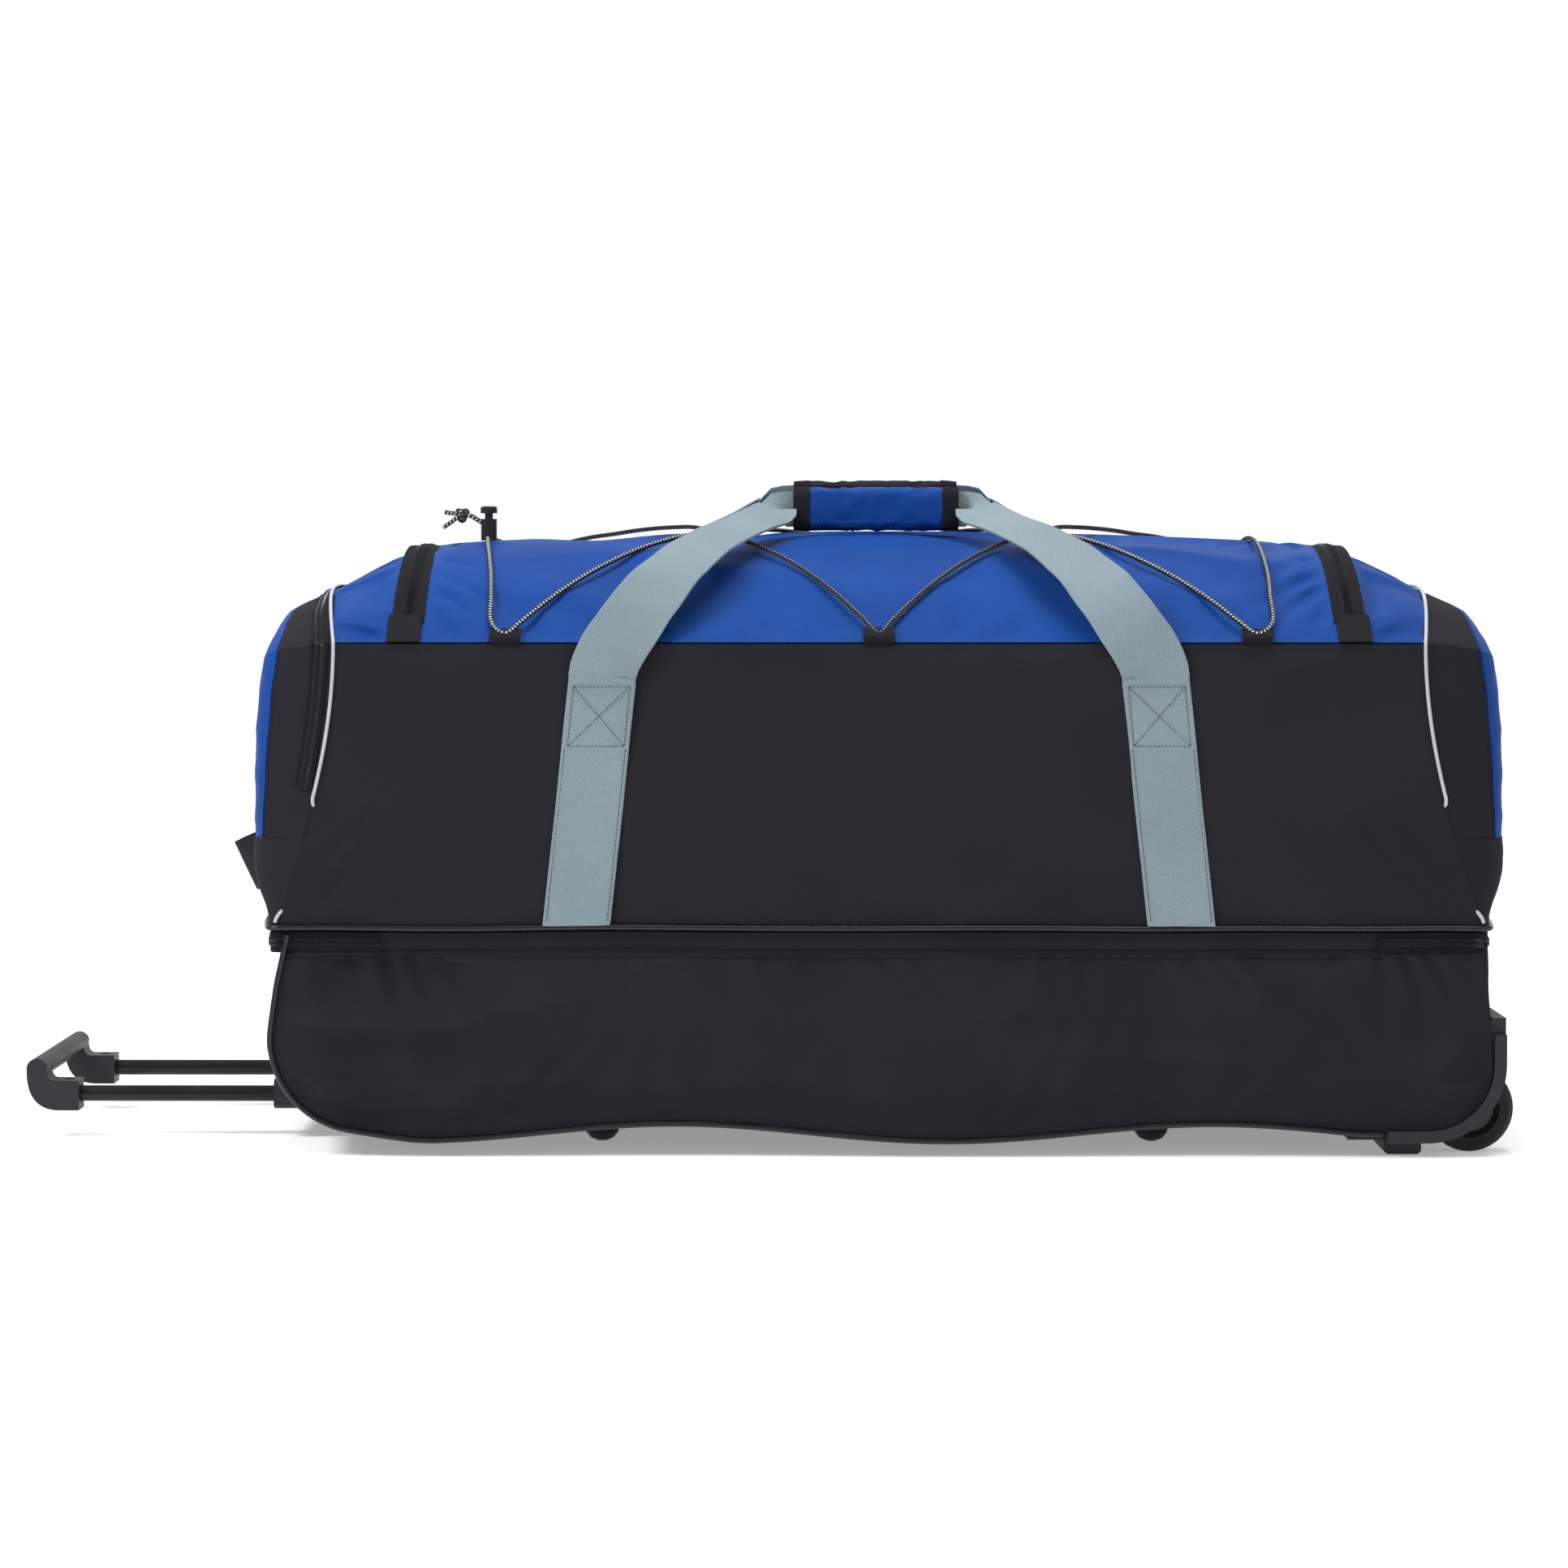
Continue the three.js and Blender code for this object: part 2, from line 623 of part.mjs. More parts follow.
// A pocket over one end of the bag: the seam line round it, drawn in to a spine at its middle.
function pocketSkin(sign, inset) {
  const spineTop = 320;
  const straight = 6; // steps up each straight side of the seam line
  const arch = 12; // steps over the arched top
  const total = 2 * straight + arch;
  const levels = [0, 0.03, 0.07, 0.12, 0.2, 0.34, 0.65, 1];
  const seamPoint = (k) => {
    const sideTop = 372;
    if (k <= straight || k >= total - straight) {
      const step = Math.min(k, total - k);
      const z = POCKET_BASE + ((sideTop - POCKET_BASE) * step) / straight;
      return [(k <= straight ? -1 : 1) * (panelYAt(z) - inset - 0.5), z];
    }
    const angle = Math.PI * (1 - (k - straight) / arch);
    const y = (ROOF_HALF_WIDTH - inset - 0.5) * Math.cos(angle);
    const dome = roofAt(endSeamAt(ROOF_SEAM, y), y) - inset - 0.5;
    return [y, Math.max(sideTop, dome)];
  };
  return pointGrid(total, levels.length - 1, (u, v) => {
    const toSpine = levels[Math.round(v * (levels.length - 1))];
    const [seamY, seamZ] = seamPoint(Math.round(u * total));
    const spineZ = Math.min(seamZ, spineTop);
    const z = seamZ + (spineZ - seamZ) * toSpine;
    const base = endSeamAt(seamZ, seamY) + GAP;
    const x = base + (pocketReach(z) + 1.5 * toSpine - inset - base) * pocketOut(toSpine);
    return v3(sign * x, seamY * (1 - toSpine), z);
  });
}

function endPocket(sign) {
  return shellBetween(pocketSkin(sign, 0), pocketSkin(sign, FABRIC));
}

// The band under each end pocket: an outer skin with a shelf on top that closes the pocket's floor.
function pocketBand(sign) {
  const loops = [];
  const steps = 16;
  const half = panelYAt(POCKET_BASE) - 0.4;
  for (let k = 0; k <= steps; k++) {
    const y = half * Math.sin(Math.PI * (k / steps - 0.5));
    const out = pocketOut(1 - Math.abs(y) / half);
    const reachFrom = (z, reach) => {
      const base = endSeamAt(z, y);
      return Math.max(base + 4, base + (reach - base) * out);
    };
    const outerLow = reachFrom(UPPER_BASE, 465);
    const outerHigh = reachFrom(POCKET_BASE, 471);
    const top = POCKET_BASE - GAP;
    const backTop = endSeamAt(top, y) + GAP;
    const backShelf = endSeamAt(top - 2.5, y) + GAP;
    const backFoot = endSeamAt(UPPER_BASE, y) + GAP;
    loops.push([
      v3(sign * outerLow, y, UPPER_BASE),
      v3(sign * outerHigh, y, top),
      v3(sign * backTop, y, top),
      v3(sign * backShelf, y, top - 2.5),
      v3(sign * Math.max(backShelf + 1, outerHigh - FABRIC), y, top - 2.5),
      v3(sign * Math.max(backFoot, outerLow - FABRIC), y, UPPER_BASE),
    ]);
  }
  return loft(loops);
}

// Webbing sewn to a side panel, from the waist piping up to the fold of the carry strap.
function sewnStrap(side, sign) {
  const foot = { x: 224, z: UPPER_BASE + 0.6 };
  const head = { x: 205, z: FOLD_Z - 1 };
  const loops = [foot, head].map(({ x, z }) => {
    const near = panelYAt(z) + GAP;
    return [
      v3(sign * x - STRAP_WIDTH / 2, side * near, z),
      v3(sign * x + STRAP_WIDTH / 2, side * near, z),
      v3(sign * x + STRAP_WIDTH / 2, side * (near + WEBBING), z),
      v3(sign * x - STRAP_WIDTH / 2, side * (near + WEBBING), z),
    ];
  });
  return loft(loops);
}

function upperCompartment() {
  for (const [word, side] of SIDES) {
    add(`upper_${word}_panel`, upperSidePanel(side), 'fabric');
    for (const [end, sign] of ENDS) {
      add(`sewn_strap_${word}_${end}`, sewnStrap(side, sign), 'webbing');
    }
  }
  for (const [end, sign] of ENDS) {
    add(`upper_${end}_end_panel`, endPanel(sign), 'fabric');
    add(`${end}_pocket_band`, pocketBand(sign), 'fabric');
    const x0 = sign * (LID_HALF + 0.6);
    const edge = ROOF_HALF_WIDTH - 0.2;
    const outerEnd = (y) => sign * endSeamAt(ROOF_SEAM, y);
    add(`roof_${end}_strip`, roofPatch(x0, outerEnd, -edge, edge, 4, 18), 'blue');
  }
  const rearEdge = ROOF_HALF_WIDTH - 0.2;
  add('roof_rear_strip', roofPatch(-LID_HALF, () => LID_HALF, LID_REAR + 0.6, rearEdge, 12, 6), 'blue');
  add('waist_piping', waistPiping(), 'piping');
  add('divider_floor', dividerFloor(), 'board');
  add('right_pocket', endPocket(1), 'blue');
}

// ---- lid, bungee cord and cord lock ----

const CORD_RADIUS = 1.75;
const LOCK = { x: -303, y: 0, radius: 6.3, length: 25 };

// Where the cord runs on the roof, as x, y and height above the fabric, from lock back to lock.
const CORD_ROUTE = [
  [LOCK.x, -14, 2.6],
  [-299, -60, 2.3],
  [-292, -120, 2.4],
  [-288, -170, 2.6],
  [-277, -180, 3.4],
  [-266, -170, 2.6],
  [-205, -108, 2.3],
  [-140, -42, 2.6],
  [-70, 30, 2.6],
  [-12, 80, 2.6],
  [0, 87, 2.8],
  [12, 80, 2.6],
  [70, 30, 2.6],
  [140, -42, 2.6],
  [205, -108, 2.3],
  [268, -170, 2.6],
  [280, -180, 3.4],
  [292, -170, 2.6],
  [294, -120, 2.4],
  [293, -40, 2.3],
  [292, 40, 2.3],
  [290, 78, 2.6],
  [280, 87, 2.8],
  [268, 78, 2.6],
  [205, 22, 2.6],
  [140, -42, 7],
  [78, -98, 2.8],
  [12, -168, 2.6],
  [0, -180, 3.4],
  [-12, -168, 2.6],
  [-78, -98, 2.8],
  [-140, -42, 7],
  [-205, 22, 2.6],
  [-264, 78, 2.6],
  [-275, 87, 2.8],
  [-286, 78, 2.6],
  [-296, 45, 2.3],
  [LOCK.x, 14, 2.6],
];

// The cord's line: between route points it follows the roof, a little way off the fabric.
function cordLine() {
  const line = [];
  CORD_ROUTE.slice(1).forEach((to, k) => {
    const from = CORD_ROUTE[k];
    const length = Math.hypot(to[0] - from[0], to[1] - from[1]);
    const steps = Math.max(1, Math.round(length / 24));
    for (let i = k ? 1 : 0; i <= steps; i++) {
      const [x, y, height] = from.map((value, axis) => value + ((to[axis] - value) * i) / steps);
      const lean = Math.abs(y) / ROOF_HALF_WIDTH;
      const out = Math.sign(y) * height * lean;
      line.push(v3(x, y + out, roofAt(x, y) + height * 1.1));
    }
  });
  return line;
}

// Barrel of the cord lock: a tube that stands on the roof with the cord's ends through its foot.
function lockBarrel() {
  const section = [
    [3.6, 0],
    [3.6, 17],
    [LOCK.radius, 17],
    [LOCK.radius, 0],
  ];
  const barrel = turnedAboutY(section, 20).rotateX(Math.PI / 2);
  return barrel.translate(LOCK.x, 0, crestAt(LOCK.x) + 1.4);
}

function lockPlunger() {
  const points = [
    [0, 5],
    [3.2, 5],
    [3.2, 21.4],
    [LOCK.radius + 0.3, 21.4],
    [LOCK.radius + 0.3, LOCK.length + 1],
    [5, LOCK.length + 2],
    [0, LOCK.length + 2],
  ].map(([r, z]) => new THREE.Vector2(r, z));
  const plunger = new THREE.LatheGeometry(points, 20).rotateX(Math.PI / 2);
  return plunger.translate(LOCK.x, 0, crestAt(LOCK.x) + 1.4);
}

function lid() {
  const edge = ROOF_HALF_WIDTH - 0.2;
  add('lid_panel', roofPatch(-LID_HALF, () => LID_HALF, -edge, LID_REAR, 16, 14), 'blue');
  add('bungee_cord', roundTube(cordLine(), CORD_RADIUS, 170, 6), 'cord');
  add('cord_lock_barrel', lockBarrel(), 'plastic');
  add('cord_lock_plunger', lockPlunger(), 'plastic');
}

// ---- carry handles ----

const GRIP = { z: 483, wrapHeight: 34, wrapDepth: 22, webbingHalf: 14 };

// Left half of a carry strap, from its fold to the grip: centre, and which way its face looks.
const STRAP_ROUTE = [
  { at: [-204.8, -186, FOLD_Z + 3.2], face: [0, -1, 0], half: 25 },
  { at: [-204.2, -186.2, 361], face: [0, -1, 0], half: 25 },
  { at: [-198, -187, 376], face: [0, -1, 0], half: 24 },
  { at: [-186, -187, 394], face: [0, -1, 0.1], half: 22 },
  { at: [-169, -178, 418], face: [0, -0.95, 0.3], half: 20.5 },
  { at: [-148, -155, 441], face: [0, -0.75, 0.65], half: 19 },
  { at: [-124, -120, 459], face: [0, -0.6, 0.8], half: 18 },
  { at: [-99, -80, 471], face: [0, -0.6, 0.8], half: 16.5 },
  { at: [-78, -50, 480], face: [0, -0.8, 0.6], half: 15 },
  { at: [-62, -30, 483], face: [0, -1, 0.2], half: 14 },
];

// The whole strap as one ribbon: the left half, the straight run in the grip, the mirrored half.
function strapRibbon(gripY, gripZ) {
  const last = STRAP_ROUTE.at(-1).at;
  const half = STRAP_ROUTE.map(({ at, face, half: width }, k) => {
    const share = Math.max(0, k - 2) / (STRAP_ROUTE.length - 3);
    const lift = v3(0, (gripY - last[1]) * share, (gripZ - last[2]) * share);
    return { at: v3(...at).add(lift), face: v3(...face).normalize(), width };
  });
  const stations = [...half, ...half.map((s) => flipped(s)).reverse()];
  const loops = stations.map((station, k) => {
    const next = stations[Math.min(k + 1, stations.length - 1)].at;
    const before = stations[Math.max(k - 1, 0)].at;
    const along = next.clone().sub(before).normalize();
    const across = along.clone().cross(station.face).normalize().multiplyScalar(station.width);
    const through = across.clone().cross(along).normalize().multiplyScalar(WEBBING / 2);
    const corner = (a, b) => station.at.clone().addScaledVector(across, a).addScaledVector(through, b);
    return [corner(-1, -1), corner(1, -1), corner(1, 1), corner(-1, 1)];
  });
  return loft(loops);
}

function flipped({ at, face, width }) {
  return { at: v3(-at.x, at.y, at.z), face: v3(-face.x, face.y, face.z), width };
}

// The padded wrap round the strap's middle, with a slot that the webbing fills.
function gripWrap(gripY, gripZ) {
  const outer = roundedRectangle(
    gripY - GRIP.wrapDepth / 2,
    gripY + GRIP.wrapDepth / 2,
    gripZ - GRIP.wrapHeight / 2,
    gripZ + GRIP.wrapHeight / 2,
    8,
  );
  const slotY = WEBBING / 2 + 3.4;
  const slotZ = GRIP.webbingHalf + 0.7;
  outer.holes.push(roundedRectangle(gripY - slotY, gripY + slotY, gripZ - slotZ, gripZ + slotZ, 1));
  return alongX(outer, -GRIP_HALF + 2.5, GRIP_HALF - 2.5);
}

function carryHandles() {
  for (const [word, side] of SIDES) {
    const gripY = side < 0 ? -30 : -17;
    const gripZ = side < 0 ? GRIP.z : GRIP.z + 6;
    add(`carry_strap_${word}`, onSide(strapRibbon(gripY, gripZ), side), 'webbing');
    add(`carry_grip_${word}`, onSide(gripWrap(gripY, gripZ), side), side < 0 ? 'blue' : 'binding');
  }
}

// ---- left pocket, grab handle and zip sliders ----

function grabHandle() {
  const path = [
    [-474.5, -58, 213],
    [-480, -46, 213],
    [-489, -28, 213],
    [-492.6, 0, 213],
    [-489, 28, 213],
    [-480, 46, 213],
    [-474.5, 58, 213],
  ];
  const loops = path.map(([x, y, z], k) => {
    const [x0, y0] = path[Math.max(0, k - 1)];
    const [x1, y1] = path[Math.min(path.length - 1, k + 1)];
    const across = v3(y1 - y0, x0 - x1, 0).normalize().multiplyScalar(WEBBING / 2);
    return [
      v3(x - across.x, y - across.y, z - 21.5),
      v3(x + across.x, y + across.y, z - 21.5),
      v3(x + across.x, y + across.y, z + 21.5),
      v3(x - across.x, y - across.y, z + 21.5),
    ];
  });
  return loft(loops);
}

// A zip slider's body, and the pull tab that hangs from it, drawn with the zip along X.
function sliderBody() {
  const body = alongX(roundedRectangle(-5, 5, 0, 3.2, 1.2), -7, 7);
  const bridge = alongX(roundedRectangle(-1.6, 1.6, 2.5, 6.2, 1), -4, 4);
  const eye = box(-2.6, 2.6, -5, 5, 3.4, 5.4);
  return cut(joined(body, bridge), eye);
}

function pullTab(length) {
  const plate = new THREE.ExtrudeGeometry(roundedRectangle(0, length, -4.4, 4.4, 3), {
    depth: 1.1,
    bevelEnabled: false,
    curveSegments: 4,
  });
  const window = box(-1, 4.4, -2.2, 2.2, -1, 3);
  return cut(plate, window.translate(2.2, 0, 0));
}

// Zip runs: where each slider sits, which way its zip runs, and which way its top looks.
const SLIDERS = [
  { name: 'lid_zip_left', at: v3(-16, 101, 0), along: v3(-1, 0, 0), up: v3(0, 0.4, 0.92), tab: 26 },
  { name: 'lid_zip_right', at: v3(16, 101, 0), along: v3(1, 0, 0), up: v3(0, 0.4, 0.92), tab: 26 },
  { name: 'lower_zip_left', at: v3(-14, 0, 160), along: v3(-1, 0, 0), up: v3(0, 1, 0), tab: 26 },
  { name: 'lower_zip_right', at: v3(14, 0, 160), along: v3(1, 0, 0), up: v3(0, 1, 0), tab: 26 },
];

function placed(along, up, at) {
  const side = up.clone().cross(along).normalize();
  const lift = along.clone().cross(side).normalize();
  const turn = new THREE.Matrix4().makeBasis(along.clone().normalize(), side, lift);
  return turn.setPosition(at);
}

function zipSliders() {
  for (const { name, at, along, up, tab } of SLIDERS) {
    const onRoof = at.z === 0;
    const seat = onRoof ? v3(at.x, at.y, roofAt(at.x, at.y) + 2.2) : v3(at.x, HALF_WIDTH + GAP, at.z);
    const frame = placed(along, up, seat);
    add(`${name}_slider`, sliderBody().applyMatrix4(frame), 'steel');
    const lie = new THREE.Matrix4().makeTranslation(-1.6, 0, 3.9);
    add(`${name}_pull`, pullTab(tab).applyMatrix4(lie).applyMatrix4(frame), 'binding');
  }
}

function endFittings() {
  add('left_pocket', endPocket(-1), 'blue');
  add('grab_handle', grabHandle(), 'binding');
}

lowerCompartment();
wheels();
trolley();
upperCompartment();
lid();
carryHandles();
endFittings();
zipSliders();

// Stand the bag with the middle of its base at the origin.
const bounds = new THREE.Box3().setFromObject(model);
const centre = bounds.getCenter(new THREE.Vector3());
model.position.set(-centre.x, -centre.y, -bounds.min.z);

const group = new THREE.Group();
group.add(model);

export default group;
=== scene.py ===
import math

import bpy
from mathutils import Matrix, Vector, noise


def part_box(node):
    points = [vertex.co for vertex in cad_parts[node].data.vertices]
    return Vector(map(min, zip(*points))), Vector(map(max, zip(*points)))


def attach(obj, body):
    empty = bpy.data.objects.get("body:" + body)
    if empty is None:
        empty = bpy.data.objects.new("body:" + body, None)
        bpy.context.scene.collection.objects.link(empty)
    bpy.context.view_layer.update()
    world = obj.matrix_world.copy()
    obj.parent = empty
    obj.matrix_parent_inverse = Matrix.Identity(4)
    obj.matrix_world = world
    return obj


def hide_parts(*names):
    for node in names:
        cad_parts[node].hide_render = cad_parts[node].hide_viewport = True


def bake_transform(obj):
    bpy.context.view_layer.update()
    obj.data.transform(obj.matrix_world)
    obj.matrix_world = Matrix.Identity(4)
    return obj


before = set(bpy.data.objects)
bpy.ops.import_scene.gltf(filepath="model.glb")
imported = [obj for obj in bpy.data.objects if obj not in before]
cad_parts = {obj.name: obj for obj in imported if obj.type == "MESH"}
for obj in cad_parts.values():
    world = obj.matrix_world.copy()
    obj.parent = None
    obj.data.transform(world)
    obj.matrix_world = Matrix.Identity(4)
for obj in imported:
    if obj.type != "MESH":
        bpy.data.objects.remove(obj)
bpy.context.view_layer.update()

# Looks of a rolling drop-bottom duffel bag. Shapes are worked out in millimetres about the middle
# of the bag (long side along X, front at -Y, +Z up) and turned into metres when a mesh is made.

# ---- driving dimensions, millimetres ----
HALF_WIDTH = 190
ROOF_HALF_WIDTH = 183
LOWER_TOP = 167.6
PIPING_Z = 171
UPPER_BASE = 173.4
ROOF_SEAM = 382
ROOF_CREST = 465
FABRIC = 2.6
PIPING_RADIUS = 2.2

LID_HALF = 350.6
LID_REAR = 94.7
END_DOME = 16

LOWER_BOTTOM = 19
LEFT_CORNER = {"radius": 70, "side": 452, "top": 438}
RIGHT_CORNER = {"radius": 49, "side": 456, "top": 450}
HEM_Z = 152  # lower edge of the fold that hides the lower zip
HEM_ROWS = (HEM_Z + 2.4, HEM_Z - 3.4)  # heights of its two rows of stitching
ZIP_Z = 160  # height of the lower zip
ZIP_START = 370  # the lower zip shows on the front beyond this

PIPING_SHOWS_Z = 266  # the reflective piping shows above this height
POCKET_BASE = 236
POCKET_SPLIT = 0.78  # share of the pocket's reach where its sides meet its face
WEBBING = 2.2
GRIP_HALF = 63
GRIP_CENTRES = {"front": (-30, 483), "rear": (17, 489)}  # across the bag and height
CORD_RADIUS = 1.75
LOCK_X = -303
STITCH = {"pitch": 3.4, "length": 2.5, "radius": 0.45}

ring_low, ring_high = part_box("waist_piping")
MIDDLE = Vector(((ring_low.x + ring_high.x) / 2, (ring_low.y + ring_high.y) / 2, 0))

# Seeds of the creases: pieces that meet at a plain seam share one.
ROOF_SEED = 103
LID_SEED = 105
POCKET_SEED = 81

SIDES = (("front", -1), ("rear", 1))
ENDS = (("left", -1), ("right", 1))


# ---- small helpers ----
def clamp(value, low=0.0, high=1.0):
    return max(low, min(high, value))


def smoothstep(value, low, high):
    t = clamp((value - low) / (high - low))
    return t * t * (3 - 2 * t)


def mix(a, b, t):
    return a + (b - a) * t


def wander(x, y, seed=0.0):
    """Smooth noise from -1 to 1 that changes over about one unit of x and y."""
    return noise.noise(Vector((x, y, seed)))


def spread(count):
    return [k / count for k in range(count + 1)]


# ---- meshes ----
def make_mesh(name, points, faces, uvs, material, smooth=True):
    """A mesh from points in millimetres. uvs holds one pair per point, in millimetres of cloth."""
    mesh = bpy.data.meshes.new(name)
    mesh.from_pydata([Vector(p) / 1000 + MIDDLE for p in points], [], faces)
    layer = mesh.uv_layers.new(name="cloth")
    for loop in mesh.loops:
        layer.data[loop.index].uv = uvs[loop.vertex_index]
    mesh.materials.append(material)
    if smooth:
        mesh.polygons.foreach_set("use_smooth", [True] * len(mesh.polygons))
        mesh.set_sharp_from_angle(angle=math.radians(50))
    mesh.update()
    obj = bpy.data.objects.new(name, mesh)
    bpy.context.scene.collection.objects.link(obj)
    return obj


def run_lengths(line):
    lengths = [0.0]
    for a, b in zip(line, line[1:]):
        lengths.append(lengths[-1] + (b - a).length)
    return lengths


def skin(name, surface, us, vs, inward, material, keep=None):
    """A sheet of cloth with real thickness: surface(u, v) and the same moved by inward(point)."""
    outer = [[Vector(surface(u, v)) for u in us] for v in vs]
    across = run_lengths(outer[len(vs) // 2])
    up = run_lengths([row[len(us) // 2] for row in outer])
    columns = len(us)
    points = [p for row in outer for p in row]
    shift = len(points)
    points += [p + Vector(inward(p)) for p in points]
    uvs = [(across[i], up[j]) for j in range(len(vs)) for i in range(columns)] * 2
    corner, beside, above = outer[0][0], outer[0][1], outer[1][0]
    flip = (beside - corner).cross(above - corner).dot(Vector(inward(corner))) > 0
    faces = []
    for j in range(len(vs) - 1):
        for i in range(columns - 1):
            a = j * columns + i
            quad = (a, a + 1, a + 1 + columns, a + columns)
            if keep and not keep(sum((points[k] for k in quad), Vector()) / 4):
                continue
            faces.append(quad)
            faces.append(tuple(k + shift for k in reversed(quad)))
    last = (len(vs) - 1) * columns
    rim = list(range(columns)) + [j * columns + columns - 1 for j in range(1, len(vs))]
    rim += [last + i for i in range(columns - 2, -1, -1)]
    rim += [j * columns for j in range(len(vs) - 2, 0, -1)]
    for a, b in zip(rim, rim[1:] + rim[:1]):
        faces.append((b, a, a + shift, b + shift))
    if flip:
        faces = [tuple(reversed(face)) for face in faces]
    return make_mesh(name, points, faces, uvs, material)


def smooth_line(points, step=3.0):
    """Evenly spaced points on a smooth curve through the given ones."""
    points = [Vector(p) for p in points]
    padded = [2 * points[0] - points[1]] + points + [2 * points[-1] - points[-2]]
    line = []
    for k in range(1, len(padded) - 2):
        p0, p1, p2, p3 = padded[k - 1 : k + 3]
        pieces = max(2, int((p2 - p1).length / step))
        for i in range(pieces):
            t = i / pieces
            line.append(
                0.5
                * (
                    2 * p1
                    + (p2 - p0) * t
                    + (2 * p0 - 5 * p1 + 4 * p2 - p3) * t * t
                    + (3 * p1 - p0 - 3 * p2 + p3) * t**3
                )
            )
    line.append(points[-1])
    return line


def tube(name, line, radius, material, sides=12, closed=False):
    """A round cord or piping along a line of points."""
    count = len(line)
    lengths = run_lengths(line)
    normal = None
    points, uvs, faces = [], [], []
    for k, at in enumerate(line):
        before = line[k - 1] if k or closed else line[0]
        after = line[(k + 1) % count] if k + 1 < count or closed else line[-1]
        along = (after - before).normalized()
        if normal is None:
            normal = along.orthogonal().normalized()
        normal = (normal - along * normal.dot(along)).normalized()
        other = along.cross(normal)
        for i in range(sides + 1):
            angle = 2 * math.pi * i / sides
            points.append(at + radius * (math.cos(angle) * normal + math.sin(angle) * other))
            uvs.append((i / sides, lengths[k]))
    ring = sides + 1
    rings = count if closed else count - 1
    for k in range(rings):
        for i in range(sides):
            a = k * ring + i
            b = ((k + 1) % count) * ring + i
            faces.append((a, a + 1, b + 1, b))
    if not closed:
        faces.append(tuple(range(sides - 1, -1, -1)))
        faces.append(tuple((count - 1) * ring + i for i in range(sides)))
    return make_mesh(name, points, faces, uvs, material)


def ribbon(name, stations, thickness, material, foot_z=0.0):
    """Webbing through stations of (centre, outward face, half width), cut level at foot_z."""
    section = [(-1, 0), (-0.97, 0.5), (-0.6, 0.56), (0, 0.58), (0.6, 0.56), (0.97, 0.5)]
    section += [(1, 0), (0.97, -0.5), (0, -0.5), (-0.97, -0.5)]
    lengths = run_lengths([Vector(s[0]) for s in stations])
    points, uvs, faces = [], [], []
    for k, (at, face, half) in enumerate(stations):
        after = Vector(stations[min(k + 1, len(stations) - 1)][0])
        before = Vector(stations[max(k - 1, 0)][0])
        along = (after - before).normalized()
        across = along.cross(Vector(face)).normalized()
        through = across.cross(along).normalized()
        for a, b in section:
            corner = Vector(at) + across * a * half + through * b * thickness
            corner.z = max(corner.z, foot_z)
            points.append(corner)
            uvs.append((a * half, lengths[k]))
    size = len(section)
    for k in range(len(stations) - 1):
        for i in range(size):
            a = k * size + i
            b = k * size + (i + 1) % size
            faces.append((a, a + size, b + size, b))
    faces.append(tuple(range(size)))
    faces.append(tuple((len(stations) - 1) * size + i for i in reversed(range(size))))
    return make_mesh(name, points, faces, uvs, material)


def smooth_stations(stations, step=4.0):
    """Webbing stations at even steps along a smooth curve."""
    centres = smooth_line([s[0] for s in stations], step)
    faces = smooth_values([Vector(s[1]) for s in stations], [s[0] for s in stations], step)
    halves = smooth_values([Vector((s[2], 0, 0)) for s in stations], [s[0] for s in stations], step)
    return [(c, f.normalized(), h.x) for c, f, h in zip(centres, faces, halves)]


def smooth_values(values, points, step):
    """Values blended between stations at the same steps that smooth_line takes."""
    result = []
    for k in range(len(values) - 1):
        pieces = max(2, int((Vector(points[k + 1]) - Vector(points[k])).length / step))
        result += [values[k].lerp(values[k + 1], smoothstep(i / pieces, 0, 1)) for i in range(pieces)]
    return result + [values[-1]]


# Faces of one stitch: two points along the thread, two beside it, one above and one below.
STITCH_FACES = ((0, 2, 4), (2, 1, 4), (1, 3, 4), (3, 0, 4), (2, 0, 5), (1, 2, 5), (3, 1, 5), (0, 3, 5))


def stitches(name, lines, material, pitch=STITCH["pitch"]):
    """Rows of thread. Each line is a list of (point, outward face)."""
    points, faces, uvs = [], [], []
    for line in lines:
        lengths = run_lengths([p for p, _ in line])
        place = pitch / 2
        k = 0
        while place < lengths[-1]:
            while lengths[k + 1] < place:
                k += 1
            t = (place - lengths[k]) / (lengths[k + 1] - lengths[k])
            at = line[k][0].lerp(line[k + 1][0], t)
            face = line[k][1]
            along = (line[k + 1][0] - line[k][0]).normalized() * STITCH["length"] / 2
            side = along.cross(face).normalized() * STITCH["radius"]
            up = Vector(face).normalized() * STITCH["radius"]
            base = len(points)
            points += [at - along, at + along, at + side, at - side, at + 1.1 * up, at - up]
            uvs += [(0, place)] * 6
            faces += [(base + a, base + b, base + c) for a, b, c in STITCH_FACES]
            place += pitch
    return make_mesh(name, points, faces, uvs, material)


